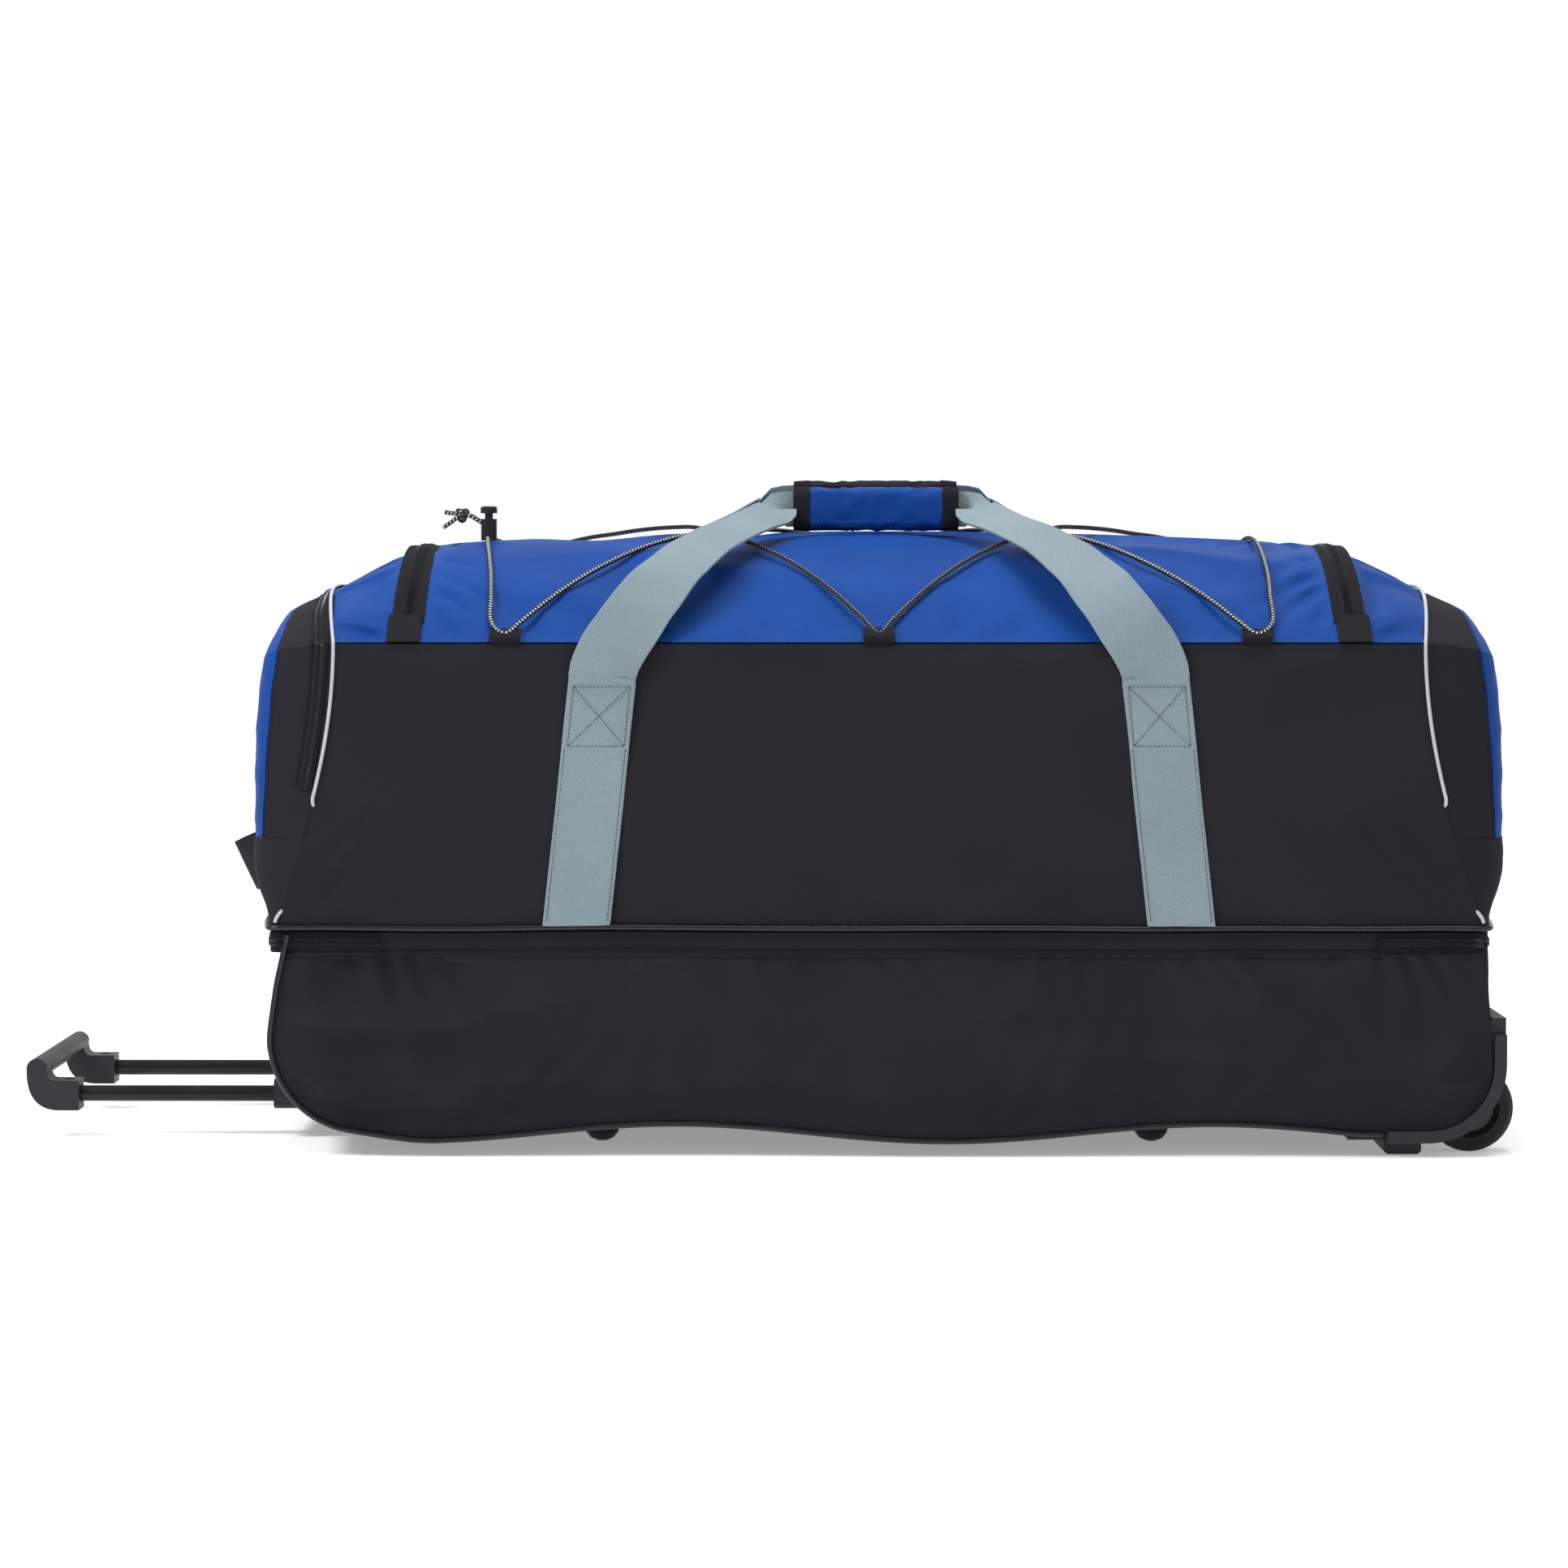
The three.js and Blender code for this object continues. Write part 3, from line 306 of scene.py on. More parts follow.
def zip_half(name, line, side, material, tape_material, half_coil, half_tape, pitch=1.7):
    """One half of a coil zip along (point, outward face) pairs: its tape and its row of teeth."""
    lengths = run_lengths([p for p, _ in line])
    frames = []
    for k, (at, face) in enumerate(line):
        along = (line[min(k + 1, len(line) - 1)][0] - line[max(k - 1, 0)][0]).normalized()
        across = along.cross(face).normalized() * side
        frames.append((at, across, Vector(face).normalized()))
    tape_section = [(0.4, 0.2), (0.4, 0.8), (half_coil, 0.9), (half_tape, 0.8), (half_tape, 0.0)]
    tape_points, tape_uvs, tape_faces = [], [], []
    for k, (at, across, up) in enumerate(frames):
        for a, b in tape_section:
            tape_points.append(at + across * a + up * b)
            tape_uvs.append((a, lengths[k]))
    size = len(tape_section)
    for k in range(len(frames) - 1):
        for i in range(size - 1):
            a = k * size + i
            tape_faces.append((a, a + 1, a + 1 + size, a + size))
    tape = make_mesh(name + "_tape", tape_points, tape_faces, tape_uvs, tape_material)
    points, uvs, faces = [], [], []
    steps = int(lengths[-1] / pitch * 2)
    k = 0
    for i in range(steps + 1):
        place = min(i * pitch / 2, lengths[-1])
        while k < len(lengths) - 2 and lengths[k + 1] < place:
            k += 1
        t = (place - lengths[k]) / max(1e-6, lengths[k + 1] - lengths[k])
        at = frames[k][0].lerp(frames[k + 1][0], t)
        across, up = frames[k][1], frames[k][2]
        tooth = (i + (side > 0)) % 2
        rise = 2.3 if tooth else 1.2
        reach = half_coil if tooth else half_coil * 0.93
        inner = -0.5 if tooth else 0.5
        profile = [(inner, 0.6), (inner + 0.2, rise * 0.85), (reach * 0.5, rise)]
        profile += [(reach * 0.9, rise * 0.7), (reach, 0.6)]
        for a, b in profile:
            points.append(at + across * a + up * b)
            uvs.append((a, place))
    for i in range(steps):
        for j in range(4):
            a = i * 5 + j
            faces.append((a, a + 1, a + 6, a + 5))
    teeth = make_mesh(name + "_teeth", points, faces, uvs, material, smooth=False)
    teeth.parent = tape
    return tape


def hand_over(piece, body, node=None):
    """Tells the frame which body a piece rides, and hides the CAD node it replaces."""
    if node:
        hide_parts(node)
    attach(piece, body)


# ---- materials ----
def linear(hex_colour):
    channels = [int(hex_colour[i : i + 2], 16) / 255 for i in (0, 2, 4)]
    return tuple(c / 12.92 if c <= 0.04045 else ((c + 0.055) / 1.055) ** 2.4 for c in channels) + (1.0,)


class Shader:
    """Builds a node material one step at a time."""

    def __init__(self, name):
        self.material = bpy.data.materials.new(name)
        self.material.use_nodes = True
        self.tree = self.material.node_tree
        self.tree.nodes.clear()
        self.out = self.node("ShaderNodeOutputMaterial")
        self.base = self.node("ShaderNodeBsdfPrincipled")
        self.link(self.base.outputs["BSDF"], self.out.inputs["Surface"])

    def node(self, kind, **settings):
        made = self.tree.nodes.new(kind)
        for key, value in settings.items():
            setattr(made, key, value)
        return made

    def link(self, a, b):
        self.tree.links.new(a, b)

    def math(self, operation, a, b=None, c=None):
        made = self.node("ShaderNodeMath", operation=operation)
        for socket, value in zip(made.inputs, (a, b, c)):
            if value is None:
                continue
            if isinstance(value, (int, float)):
                socket.default_value = value
            else:
                self.link(value, socket)
        return made.outputs[0]

    def place(self, source):
        return self.node("ShaderNodeTexCoord").outputs[source]

    def axes(self, vector):
        split = self.node("ShaderNodeSeparateXYZ")
        self.link(vector, split.inputs[0])
        return split.outputs[0], split.outputs[1], split.outputs[2]

    def noise(self, vector, scale, detail=3.0, roughness=0.5):
        made = self.node("ShaderNodeTexNoise")
        made.inputs["Scale"].default_value = scale
        made.inputs["Detail"].default_value = detail
        made.inputs["Roughness"].default_value = roughness
        self.link(vector, made.inputs["Vector"])
        return made.outputs["Fac"]

    def colour(self, factor, stops):
        ramp = self.node("ShaderNodeValToRGB")
        while len(ramp.color_ramp.elements) < len(stops):
            ramp.color_ramp.elements.new(0.5)
        for element, (position, value) in zip(ramp.color_ramp.elements, stops):
            element.position = position
            element.color = value
        self.link(factor, ramp.inputs["Fac"])
        self.link(ramp.outputs["Color"], self.base.inputs["Base Color"])

    def roughness(self, factor, low, high):
        spread_out = self.node("ShaderNodeMapRange")
        spread_out.inputs["To Min"].default_value = low
        spread_out.inputs["To Max"].default_value = high
        self.link(factor, spread_out.inputs["Value"])
        self.link(spread_out.outputs["Result"], self.base.inputs["Roughness"])

    def bump(self, height, distance, strength=1.0):
        made = self.node("ShaderNodeBump")
        made.inputs["Distance"].default_value = distance
        made.inputs["Strength"].default_value = strength
        self.link(height, made.inputs["Height"])
        self.link(made.outputs["Normal"], self.base.inputs["Normal"])


def brightened(colour, factor):
    return tuple(min(1.0, c * factor) for c in colour[:3]) + (1.0,)


def cloth_material(name, hex_colour, pitch, slant, contrast, depth=0.00018, rough=(0.7, 0.9)):
    """Woven cloth: crossing threads of the given pitch in millimetres, with uneven dye and fuzz."""
    shader = Shader(name)
    u, v, _ = shader.axes(shader.place("UV"))
    warp = shader.math("MULTIPLY", u, 2 * math.pi / pitch)
    weft = shader.math("MULTIPLY", v, 2 * math.pi / (pitch * 0.85))
    warp = shader.math("ADD", warp, shader.math("MULTIPLY", weft, slant))
    over = shader.math("MULTIPLY", shader.math("SINE", warp), shader.math("SINE", weft))
    thread = shader.math("MULTIPLY_ADD", over, 0.5, 0.5)
    fuzz = shader.noise(shader.place("UV"), 1.7, detail=2.0)
    dye = shader.noise(shader.place("UV"), 0.012, detail=4.0)
    height = shader.math("MULTIPLY_ADD", fuzz, 0.35, thread)
    tone = shader.math("MULTIPLY_ADD", dye, 0.5, shader.math("MULTIPLY", height, 0.5))
    base = linear(hex_colour)
    dark = brightened(base, 1 - contrast)
    light = brightened(base, 1 + contrast)
    shader.colour(tone, ((0.15, dark), (0.5, base), (0.9, light)))
    shader.roughness(height, *rough)
    shader.bump(height, depth)
    shader.base.inputs["Specular IOR Level"].default_value = 0.11
    return shader.material


def hard_material(name, hex_colour, grain, depth, rough, metallic=0.0, wear=0.12, shine=0.28):
    """Moulded plastic, rubber, paint or metal with a fine grain and slight wear."""
    shader = Shader(name)
    place = shader.place("Object")
    fine = shader.noise(place, grain, detail=3.0)
    broad = shader.noise(place, grain / 60, detail=4.0)
    tone = shader.math("MULTIPLY_ADD", broad, 0.7, shader.math("MULTIPLY", fine, 0.3))
    base = linear(hex_colour)
    dark = brightened(base, 1 - wear)
    light = brightened(base, 1 + wear * 2)
    shader.colour(tone, ((0.25, dark), (0.5, base), (0.8, light)))
    shader.roughness(broad, *rough)
    shader.bump(fine, depth)
    shader.base.inputs["Metallic"].default_value = metallic
    shader.base.inputs["Specular IOR Level"].default_value = shine
    return shader.material


def cord_material():
    """Braided bungee sleeve: black with pale flecks that wind round it."""
    shader = Shader("bungee_braid")
    fleck_pitch, braid_pitch = 3.1, 0.8
    around, along, _ = shader.axes(shader.place("UV"))
    turn = shader.math("MULTIPLY", around, 2 * math.pi)
    winding = shader.math("SINE", shader.math("MULTIPLY_ADD", along, 2 * math.pi / fleck_pitch, turn))
    second = shader.math("SINE", shader.math("MULTIPLY", around, 4 * math.pi))
    on_strand = shader.math("GREATER_THAN", winding, 0.45)
    on_top = shader.math("GREATER_THAN", second, 0.1)
    fleck = shader.math("MULTIPLY", on_strand, on_top)
    braid = []
    for way in (16, -16):
        strand = shader.math("MULTIPLY", around, way * math.pi)
        phase = shader.math("MULTIPLY_ADD", along, 2 * math.pi / braid_pitch, strand)
        braid.append(shader.math("SINE", phase))
    height = shader.math("MULTIPLY", *braid)
    shader.colour(fleck, ((0.2, linear("121214")), (0.8, linear("d9d8d2"))))
    shader.roughness(height, 0.6, 0.9)
    shader.bump(height, 0.0002)
    return shader.material


BLACK_CLOTH = cloth_material("black_polyester", "1d1c22", 1.3, 0.0, 0.42)
BLUE_CLOTH = cloth_material("blue_polyester", "03367b", 1.5, 0.0, 0.42, depth=0.00024, rough=(0.4, 0.65))
LINING = cloth_material("lining", "34343c", 1.0, 0.0, 0.15)
GREY_WEBBING = cloth_material("grey_webbing", "77868e", 2.0, 0.5, 0.26, depth=0.0004)
BLACK_WEBBING = cloth_material("black_webbing", "18181b", 2.6, 0.5, 0.6, depth=0.0005)
ZIP_TAPE = cloth_material("zip_tape", "141417", 1.0, 0.0, 0.35)
THREAD_BLACK = hard_material("black_thread", "121214", 2500, 0.00005, (0.5, 0.7))
THREAD_GREY = hard_material("grey_thread", "3c4d55", 2500, 0.00005, (0.6, 0.8))
THREAD_BLUE = hard_material("blue_thread", "2a50b8", 2500, 0.00005, (0.5, 0.7))
GLOSS_PIPING = hard_material("vinyl_piping", "151619", 900, 0.00003, (0.2, 0.34), shine=0.3)
SILVER_PIPING = hard_material("reflective_piping", "a6aaae", 1800, 0.00006, (0.3, 0.45), wear=0.06)
COIL = hard_material("zip_coil", "24272a", 1200, 0.00002, (0.22, 0.35))
PLASTIC = hard_material("moulded_plastic", "1d1e21", 1500, 0.00012, (0.42, 0.6))
PLASTIC_SMOOTH = hard_material("smooth_plastic", "1a1a1d", 1200, 0.00004, (0.3, 0.45))
FOOT_PLASTIC = hard_material("foot_plastic", "141416", 1500, 0.0001, (0.35, 0.55))
RUBBER = hard_material("wheel_rubber", "151517", 1100, 0.00015, (0.5, 0.75), wear=0.25)
STEEL = hard_material("axle_steel", "8a8d92", 2000, 0.00004, (0.25, 0.45), metallic=1.0)
SLIDER_METAL = hard_material("slider_enamel", "1b1c1e", 1800, 0.00003, (0.25, 0.4), metallic=0.5)
TUBE_PAINT = hard_material("tube_paint", "1b1b1e", 1600, 0.00003, (0.18, 0.32), metallic=0.3)
TUBE_METAL = hard_material("tube_aluminium", "9a9ca0", 1600, 0.00004, (0.3, 0.5), metallic=1.0)
BOARD = hard_material("base_board", "34343a", 700, 0.0002, (0.6, 0.85))
BUNGEE = cord_material()


# ---- the bag's outer form ----
def rise_at(z):
    return clamp((z - PIPING_Z) / (ROOF_SEAM - PIPING_Z))


def end_seam_at(z, y=ROOF_HALF_WIDTH):
    middle = 1 - min(1, abs(y) / ROOF_HALF_WIDTH) ** 2
    return 448 - 45 * math.sin(rise_at(z) * math.pi / 2) + END_DOME * rise_at(z) * middle


def panel_y_at(z):
    return HALF_WIDTH - (HALF_WIDTH - ROOF_HALF_WIDTH) * rise_at(z)


def crest_at(x):
    past = max(0, (abs(x) - 345) / 58)
    return ROOF_CREST - 10 * (x / 345) ** 2 - 21 * past**1.2


def roof_at(x, y):
    share = min(1, abs(y) / ROOF_HALF_WIDTH)
    return ROOF_SEAM + 0.4 + (crest_at(x) - ROOF_SEAM) * (1 - share**2.3)


def roof_out(y):
    angle = clamp(y / ROOF_HALF_WIDTH, -1, 1) * math.pi / 2
    return Vector((0, math.sin(angle), math.cos(angle)))


def end_bulge(y, z):
    across = 1 - min(1, abs(y) / HALF_WIDTH) ** 3
    return 13 * across * smoothstep(z, LOWER_BOTTOM, 36)


def lower_reach(z, corner):
    """Centre to the side edge of the lower compartment at a height."""
    turn_z = LOWER_BOTTOM + corner["radius"]
    if z >= 122:
        return mix(corner["side"] - 4, corner["top"], (z - 122) / (LOWER_TOP - 122))
    if z >= turn_z:
        return mix(corner["side"], corner["side"] - 4, (z - turn_z) / (122 - turn_z))
    drop = min(turn_z - z, corner["radius"])
    return corner["side"] - corner["radius"] + math.sqrt(corner["radius"] ** 2 - drop**2)


def hem_sag(x):
    """How far the bottom edge sits above or below its usual height: the cloth hangs between seams."""
    ends = 1 - smoothstep(abs(x), 330, 400)
    return -6.5 * math.cos(2 * math.pi * (x - 50) / 400) * ends


def piping_wave(x):
    """Slight unevenness of the long seams."""
    return 1.3 * wander(x / 130, 3.1) * (1 - smoothstep(abs(x), 400, 450))


def puckers(along, away, pitch, reach, height, seed=0.0):
    """Short folds that run away from a seam and fade out."""
    phase = along / pitch + 1.6 * wander(along / (2.2 * pitch), away / 90, seed)
    return height * math.exp(-max(0, away) / reach) * math.sin(2 * math.pi * phase)


def soft(x, z, size, height, seed):
    """Broad, low creases."""
    ridge = 1 - abs(wander(x / size + 0.4 * wander(x / size, z / size, seed), z / (size * 0.6), seed))
    return height * (ridge**3 - 0.45)


# ---- lower compartment ----
def hem_groove(z):
    """How deep the two rows of stitching pull the cloth in along the hem."""
    return sum(1.1 * math.exp(-(((z - row) / 1.0) ** 2)) for row in HEM_ROWS)


def side_inward(side):
    return lambda p: (0, -side * FABRIC, 0)


def end_inward(end):
    return lambda p: (-end * FABRIC, 0, 0)


def lower_side_rows():
    """Rows of a lower side panel, close together where the hem folds over."""
    heights = [LOWER_BOTTOM + (HEM_Z - 8 - LOWER_BOTTOM) * t for t in spread(54)]
    heights += [HEM_Z - 8 + 0.5 * k for k in range(1, 25)]
    heights += [mix(HEM_Z + 4, LOWER_TOP, t) for t in spread(6)[1:]]
    return [(z - LOWER_BOTTOM) / (LOWER_TOP - LOWER_BOTTOM) for z in heights]


def lower_side_puff(x, z, side):
    edge = min(lower_reach(z, RIGHT_CORNER) - x, x + lower_reach(z, LEFT_CORNER), z - LOWER_BOTTOM, 40)
    free = smoothstep(edge, 0, 40)
    under_hem = clamp(HEM_Z - z, 0, 200)
    belly = 6.5 * free * math.sin(math.pi * clamp((z - LOWER_BOTTOM) / (HEM_Z - LOWER_BOTTOM)))
    seed = 5 if side < 0 else 17
    ends = smoothstep(abs(x), 200, 420)
    folds = soft(x + 0.9 * z, 2.2 * z, 190, 7.5 + 9.5 * ends, seed) * free
    folds += puckers(x + 0.7 * z, under_hem, 38, 32, 1.2 + 3.4 * ends, seed) * free
    folds += puckers(x - 0.4 * z, z - LOWER_BOTTOM, 52, 30, 3.8, seed + 2) * free
    return belly + folds


def lower_side_surface(side):
    def surface(u, v):
        z = mix(LOWER_BOTTOM, LOWER_TOP, v)
        left = -lower_reach(z, LEFT_CORNER)
        right = lower_reach(z, RIGHT_CORNER)
        x = mix(left, right, u)
        step_in = 2.2 * smoothstep(z, HEM_Z - 0.8, HEM_Z + 0.8)
        lift = hem_sag(x) * (1 - smoothstep(z, LOWER_BOTTOM, 95))
        lift += piping_wave(x) * smoothstep(z, 120, 160)
        y = HALF_WIDTH + lower_side_puff(x, z, side) * (1 - smoothstep(z, HEM_Z - 6, HEM_Z)) - step_in
        y -= hem_groove(z)
        return x, side * y, z + lift

    return surface


def gusset_line():
    """The lower compartment's outline from the left lip, under the bag, to the right lip."""
    heights = [LOWER_BOTTOM + (LOWER_TOP - LOWER_BOTTOM) * t**1.8 for t in spread(44)]
    left = [(-lower_reach(z, LEFT_CORNER), z) for z in reversed(heights)]
    right = [(lower_reach(z, RIGHT_CORNER), z) for z in heights]
    start, end = left[-1][0], right[0][0]
    bottom = [(mix(start, end, k / 150), LOWER_BOTTOM) for k in range(1, 150)]
    return left + bottom + right


GUSSET_LINE = gusset_line()


def gusset_surface(u, v):
    x, z = GUSSET_LINE[round(u * (len(GUSSET_LINE) - 1))]
    y = (HALF_WIDTH - FABRIC - 0.8) * (2 * v - 1)
    out = end_bulge(y, z)
    near_wheel = x > 0 and abs(y) > 100 and z < 116
    if near_wheel:
        out = min(out, 7)
    crease = soft(y, z, 70, 1.6, 31) * smoothstep(z, 40, 80) * (1 - (y / HALF_WIDTH) ** 8)
    sag = hem_sag(x) * (abs(y) / HALF_WIDTH) ** 6 * (1 - smoothstep(z, 19, 60))
    return x + math.copysign(out + crease, x), y, z + sag


def gusset_inward(p):
    if p.z > LOWER_BOTTOM + 14:
        return -math.copysign(FABRIC, p.x), 0, 0
    return 0, 0, FABRIC


def gusset_kept(p):
    in_wheel_well = p.x > 402 and abs(p.y) > 119 and p.z < 97
    in_bezel = p.x < -400 and abs(p.y) < 95 and 28 < p.z < 41
    return not (in_wheel_well or in_bezel)


def lower_piping_line(side):
    points = []
    for z in (166, 150, 130, 110, 89, 76, 64, 53, 43, 35, 28.5, 23.5, 20.5):
        points.append((-lower_reach(z, LEFT_CORNER) - 0.5, z))
    for x in range(-370, 376, 12):
        points.append((x, LOWER_BOTTOM + hem_sag(x) - 0.5))
    y = side * (HALF_WIDTH + 0.8)
    return smooth_line([(x, y, z) for x, z in points])


def lower_compartment():
    for word, side in SIDES:
        surface = lower_side_surface(side)
        name = f"lower_{word}_cloth"
        panel = skin(name, surface, spread(260), lower_side_rows(), side_inward(side), BLACK_CLOTH)
        hand_over(panel, "base", f"lower_{word}_panel")
        face = Vector((0, side, 0))
        lines = []
        for z in HEM_ROWS:
            inset = 2.9 if z > HEM_Z else 0.7
            y = side * (HALF_WIDTH - inset)
            lines.append([(Vector((x, y, z + piping_wave(x))), face) for x in range(-432, 442, 6)])
        y = side * (HALF_WIDTH - 2)
        for end in (-1, 1):
            for x in (ZIP_START - 4, ZIP_START - 13):
                lines.append([(Vector((end * x, y, z)), face) for z in (ZIP_Z - 6, ZIP_Z, ZIP_Z + 7)])
        seams = stitches(f"lower_{word}_stitches", lines, THREAD_BLACK)
        hand_over(seams, "base")
        piping = tube(f"lower_{word}_vinyl", lower_piping_line(side), PIPING_RADIUS, GLOSS_PIPING)
        hand_over(piping, "base", f"lower_{word}_piping")
    us = spread(len(GUSSET_LINE) - 1)
    vs = spread(56)
    name = "lower_gusset_cloth"
    gusset = skin(name, gusset_surface, us, vs, gusset_inward, BLACK_CLOTH, gusset_kept)
    hand_over(gusset, "base", "lower_gusset")


# ---- waist: piping and the lower zip ----
def ring_line(z, grow, start=None):
    """A line round the bag at a height. With start, the front is left open from -start to start."""
    front = HALF_WIDTH + grow
    corner = [(425, front), (440, front), (447, front - 0.4), (452, front - 3), (454.5, front - 10)]
    corner = [(x + min(0, grow), y) for x, y in corner]
    end = [(451 + grow + end_bulge(y, 100), y) for y in (160, 135, 110, 80, 40)]
    right_rear = corner + end
    right_front = [(x, -y) for x, y in reversed(right_rear)]
    middle = [(464 + grow, 0)]
    straight = [(x, front) for x in range(0, 420, 30)]
    first = [(x, -front) for x in range(410, start or 0, -20)] + [(start or 0, -front)]
    right = straight + right_rear + middle + right_front + first
    left = [(-x, y) for x, y in reversed(right)][:-1]
    line = smooth_line([(x, y, z + piping_wave(x)) for x, y in left + right], 4)
    return line if start else line[:-1]


def with_faces(line):
    """Each point of a ring with the way it faces: square to the line, level."""
    result = []
    for k, at in enumerate(line):
        along = (line[min(k + 1, len(line) - 1)] - line[max(k - 1, 0)]).normalized()
        face = Vector((0, 0, 1)).cross(along)
        if face.dot(Vector((at.x, at.y, 0))) < 0:
            face = -face
        result.append((at, face.normalized()))
    return result


def waist():
    line = ring_line(PIPING_Z, 1.6)
    piping = tube("waist_vinyl", line, PIPING_RADIUS, GLOSS_PIPING, closed=True)
    hand_over(piping, "upper", "waist_piping")
    zip_line = with_faces(ring_line(ZIP_Z, -2.2, ZIP_START))
    for word, side, body in (("lower", -1, "base"), ("upper", 1, "upper")):
        half = zip_half(f"lower_zip_{word}", zip_line, side, COIL, ZIP_TAPE, 3.5, 7.6)
        hand_over(half, body)


# ---- upper compartment ----
def upper_side_surface(side):
    seed = 41 if side < 0 else 57

    def surface(u, v):
        z = UPPER_BASE + (ROOF_SEAM - 0.4 - UPPER_BASE) * v
        x = (2 * u - 1) * end_seam_at(z)
        edge = 1 - abs(2 * u - 1)
        free = smoothstep(edge, 0, 0.12) * smoothstep(v, 0, 0.1) * smoothstep(1 - v, 0, 0.08)
        puff = 3.0 * math.sin(math.pi * v) * (1 - abs(2 * u - 1) ** 4)
        puff += soft(x, z, 230, 5.6, seed) * free
        corner = smoothstep(abs(x), 300, 440) * (1 - smoothstep(v, 0.1, 0.7))
        puff += puckers(abs(x) + z, abs(0.7 * (abs(x) - 440)), 44, 60, 3.4 * corner, seed) * free
        puff += puckers(x + z, z - UPPER_BASE, 70, 30, 0.9, seed) * free
        strap = math.exp(-(((abs(x) - 214) / 40) ** 2))
        puff = puff * (1 - 0.72 * strap) - 0.3 * strap
        lift = piping_wave(x) * (1 - smoothstep(v, 0, 0.4))
        return x, side * (panel_y_at(z) + puff), z + lift

    return surface


def roof_puff(x, y, seed):
    """Creases of the roof: mostly hollows, deeper by the zips and the front seam."""
    from_zip = abs(abs(x) - LID_HALF)
    from_seam = ROOF_HALF_WIDTH - abs(y)
    clear = mix(smoothstep(from_zip, 9, 26), 1.0, smoothstep(y, LID_REAR + 14, LID_REAR + 62))
    fold = soft(x, y, 150, 7.0, seed) - 1.8
    fold += puckers(y + 0.5 * from_zip, from_zip - 12, 46, 32, 4.6, seed) * clear
    fold += puckers(x, from_seam, 60, 28, 3.2, seed + 1) * smoothstep(from_seam, 0, 10)
    fold = min(fold, 0.7) * clear - 0.5 * (1 - clear)
    return fold * smoothstep(from_seam, 0, 8)


def roof_skin(name, node, body, x0, x1_at, y0, y1, step, seed):
    """A blue roof panel from x0 to x1_at(y) and from y0 to y1, with a point about every step."""
    def surface(u, v):
        y = mix(y0, y1, v)
        x = mix(x0, x1_at(y), u)
        p = Vector((x, y, roof_at(x, y)))
        return p + roof_out(y) * roof_puff(x, y, seed)

    us = spread(max(2, round(abs(x1_at(0) - x0) / step)))
    vs = spread(max(2, round(abs(y1 - y0) / step)))
    piece = skin(name, surface, us, vs, lambda p: -FABRIC * roof_out(p.y), BLUE_CLOTH)
    hand_over(piece, body, node)


def lid_side(y):
    return LID_HALF


def end_wall(end):
    def surface(u, v):
        across = 2 * u - 1
        top_y = across * (ROOF_HALF_WIDTH - FABRIC - 0.6)
        top = roof_at(end_seam_at(ROOF_SEAM, top_y), top_y) - FABRIC - 0.8
        z = mix(UPPER_BASE, top, v)
        y = across * (panel_y_at(z) - FABRIC - 0.6)
        return end * (end_seam_at(z, y) + soft(y, z, 80, 0.8, 71) - 0.6), y, z

    return surface


def pocket_point(end, turn, share):
    """A point on an end pocket: turn runs round its seam, share from the seam to its middle."""
    straight = 0.27
    side_top = ROOF_SEAM
    if turn <= straight or turn >= 1 - straight:
        z0 = mix(POCKET_BASE, side_top, min(turn, 1 - turn) / straight)
        y0 = (-1 if turn < 0.5 else 1) * (panel_y_at(z0) - 0.5)
    else:
        angle = math.pi * (1 - (turn - straight) / (1 - 2 * straight))
        y0 = (ROOF_HALF_WIDTH - 0.5) * math.cos(angle)
        z0 = max(side_top, roof_at(end_seam_at(ROOF_SEAM, y0), y0) - 0.5)
    z = mix(z0, min(z0, 320), share)
    out = pocket_out(share)
    rounding = 468 - 0.0011 * max(0, z - 290) ** 2
    reach = min(rounding, 471 - 10 * (max(0, z - 380) / 17) ** 1.5)
    base = end_seam_at(z0, y0) + 0.4
    x = base + (reach + 1.5 * share - base) * out
    crease = soft(y0 + 300 * share, z + 40 * turn, 60, 1.5, POCKET_SEED) * smoothstep(out, 0.1, 0.5)
    return Vector((end * (x + crease * 0.6), y0 * (1 - share) + crease * math.copysign(0.5, y0), z))


def pocket_out(share):
    """How far a pocket has rounded out, from 0 at its seam to 1."""
    return 1 - (1 - clamp(share / 0.55)) ** 8


def share_at(out):
    return 0.55 * (1 - (1 - out) ** (1 / 8))


def pocket_inward(end):
    def inward(p):
        slope = clamp(abs(p.y) / HALF_WIDTH) ** 6
        side = Vector((-end * (1 - slope), -math.copysign(slope, p.y), -0.4 if p.z > 372 else 0))
        return side.normalized() * FABRIC

    return inward


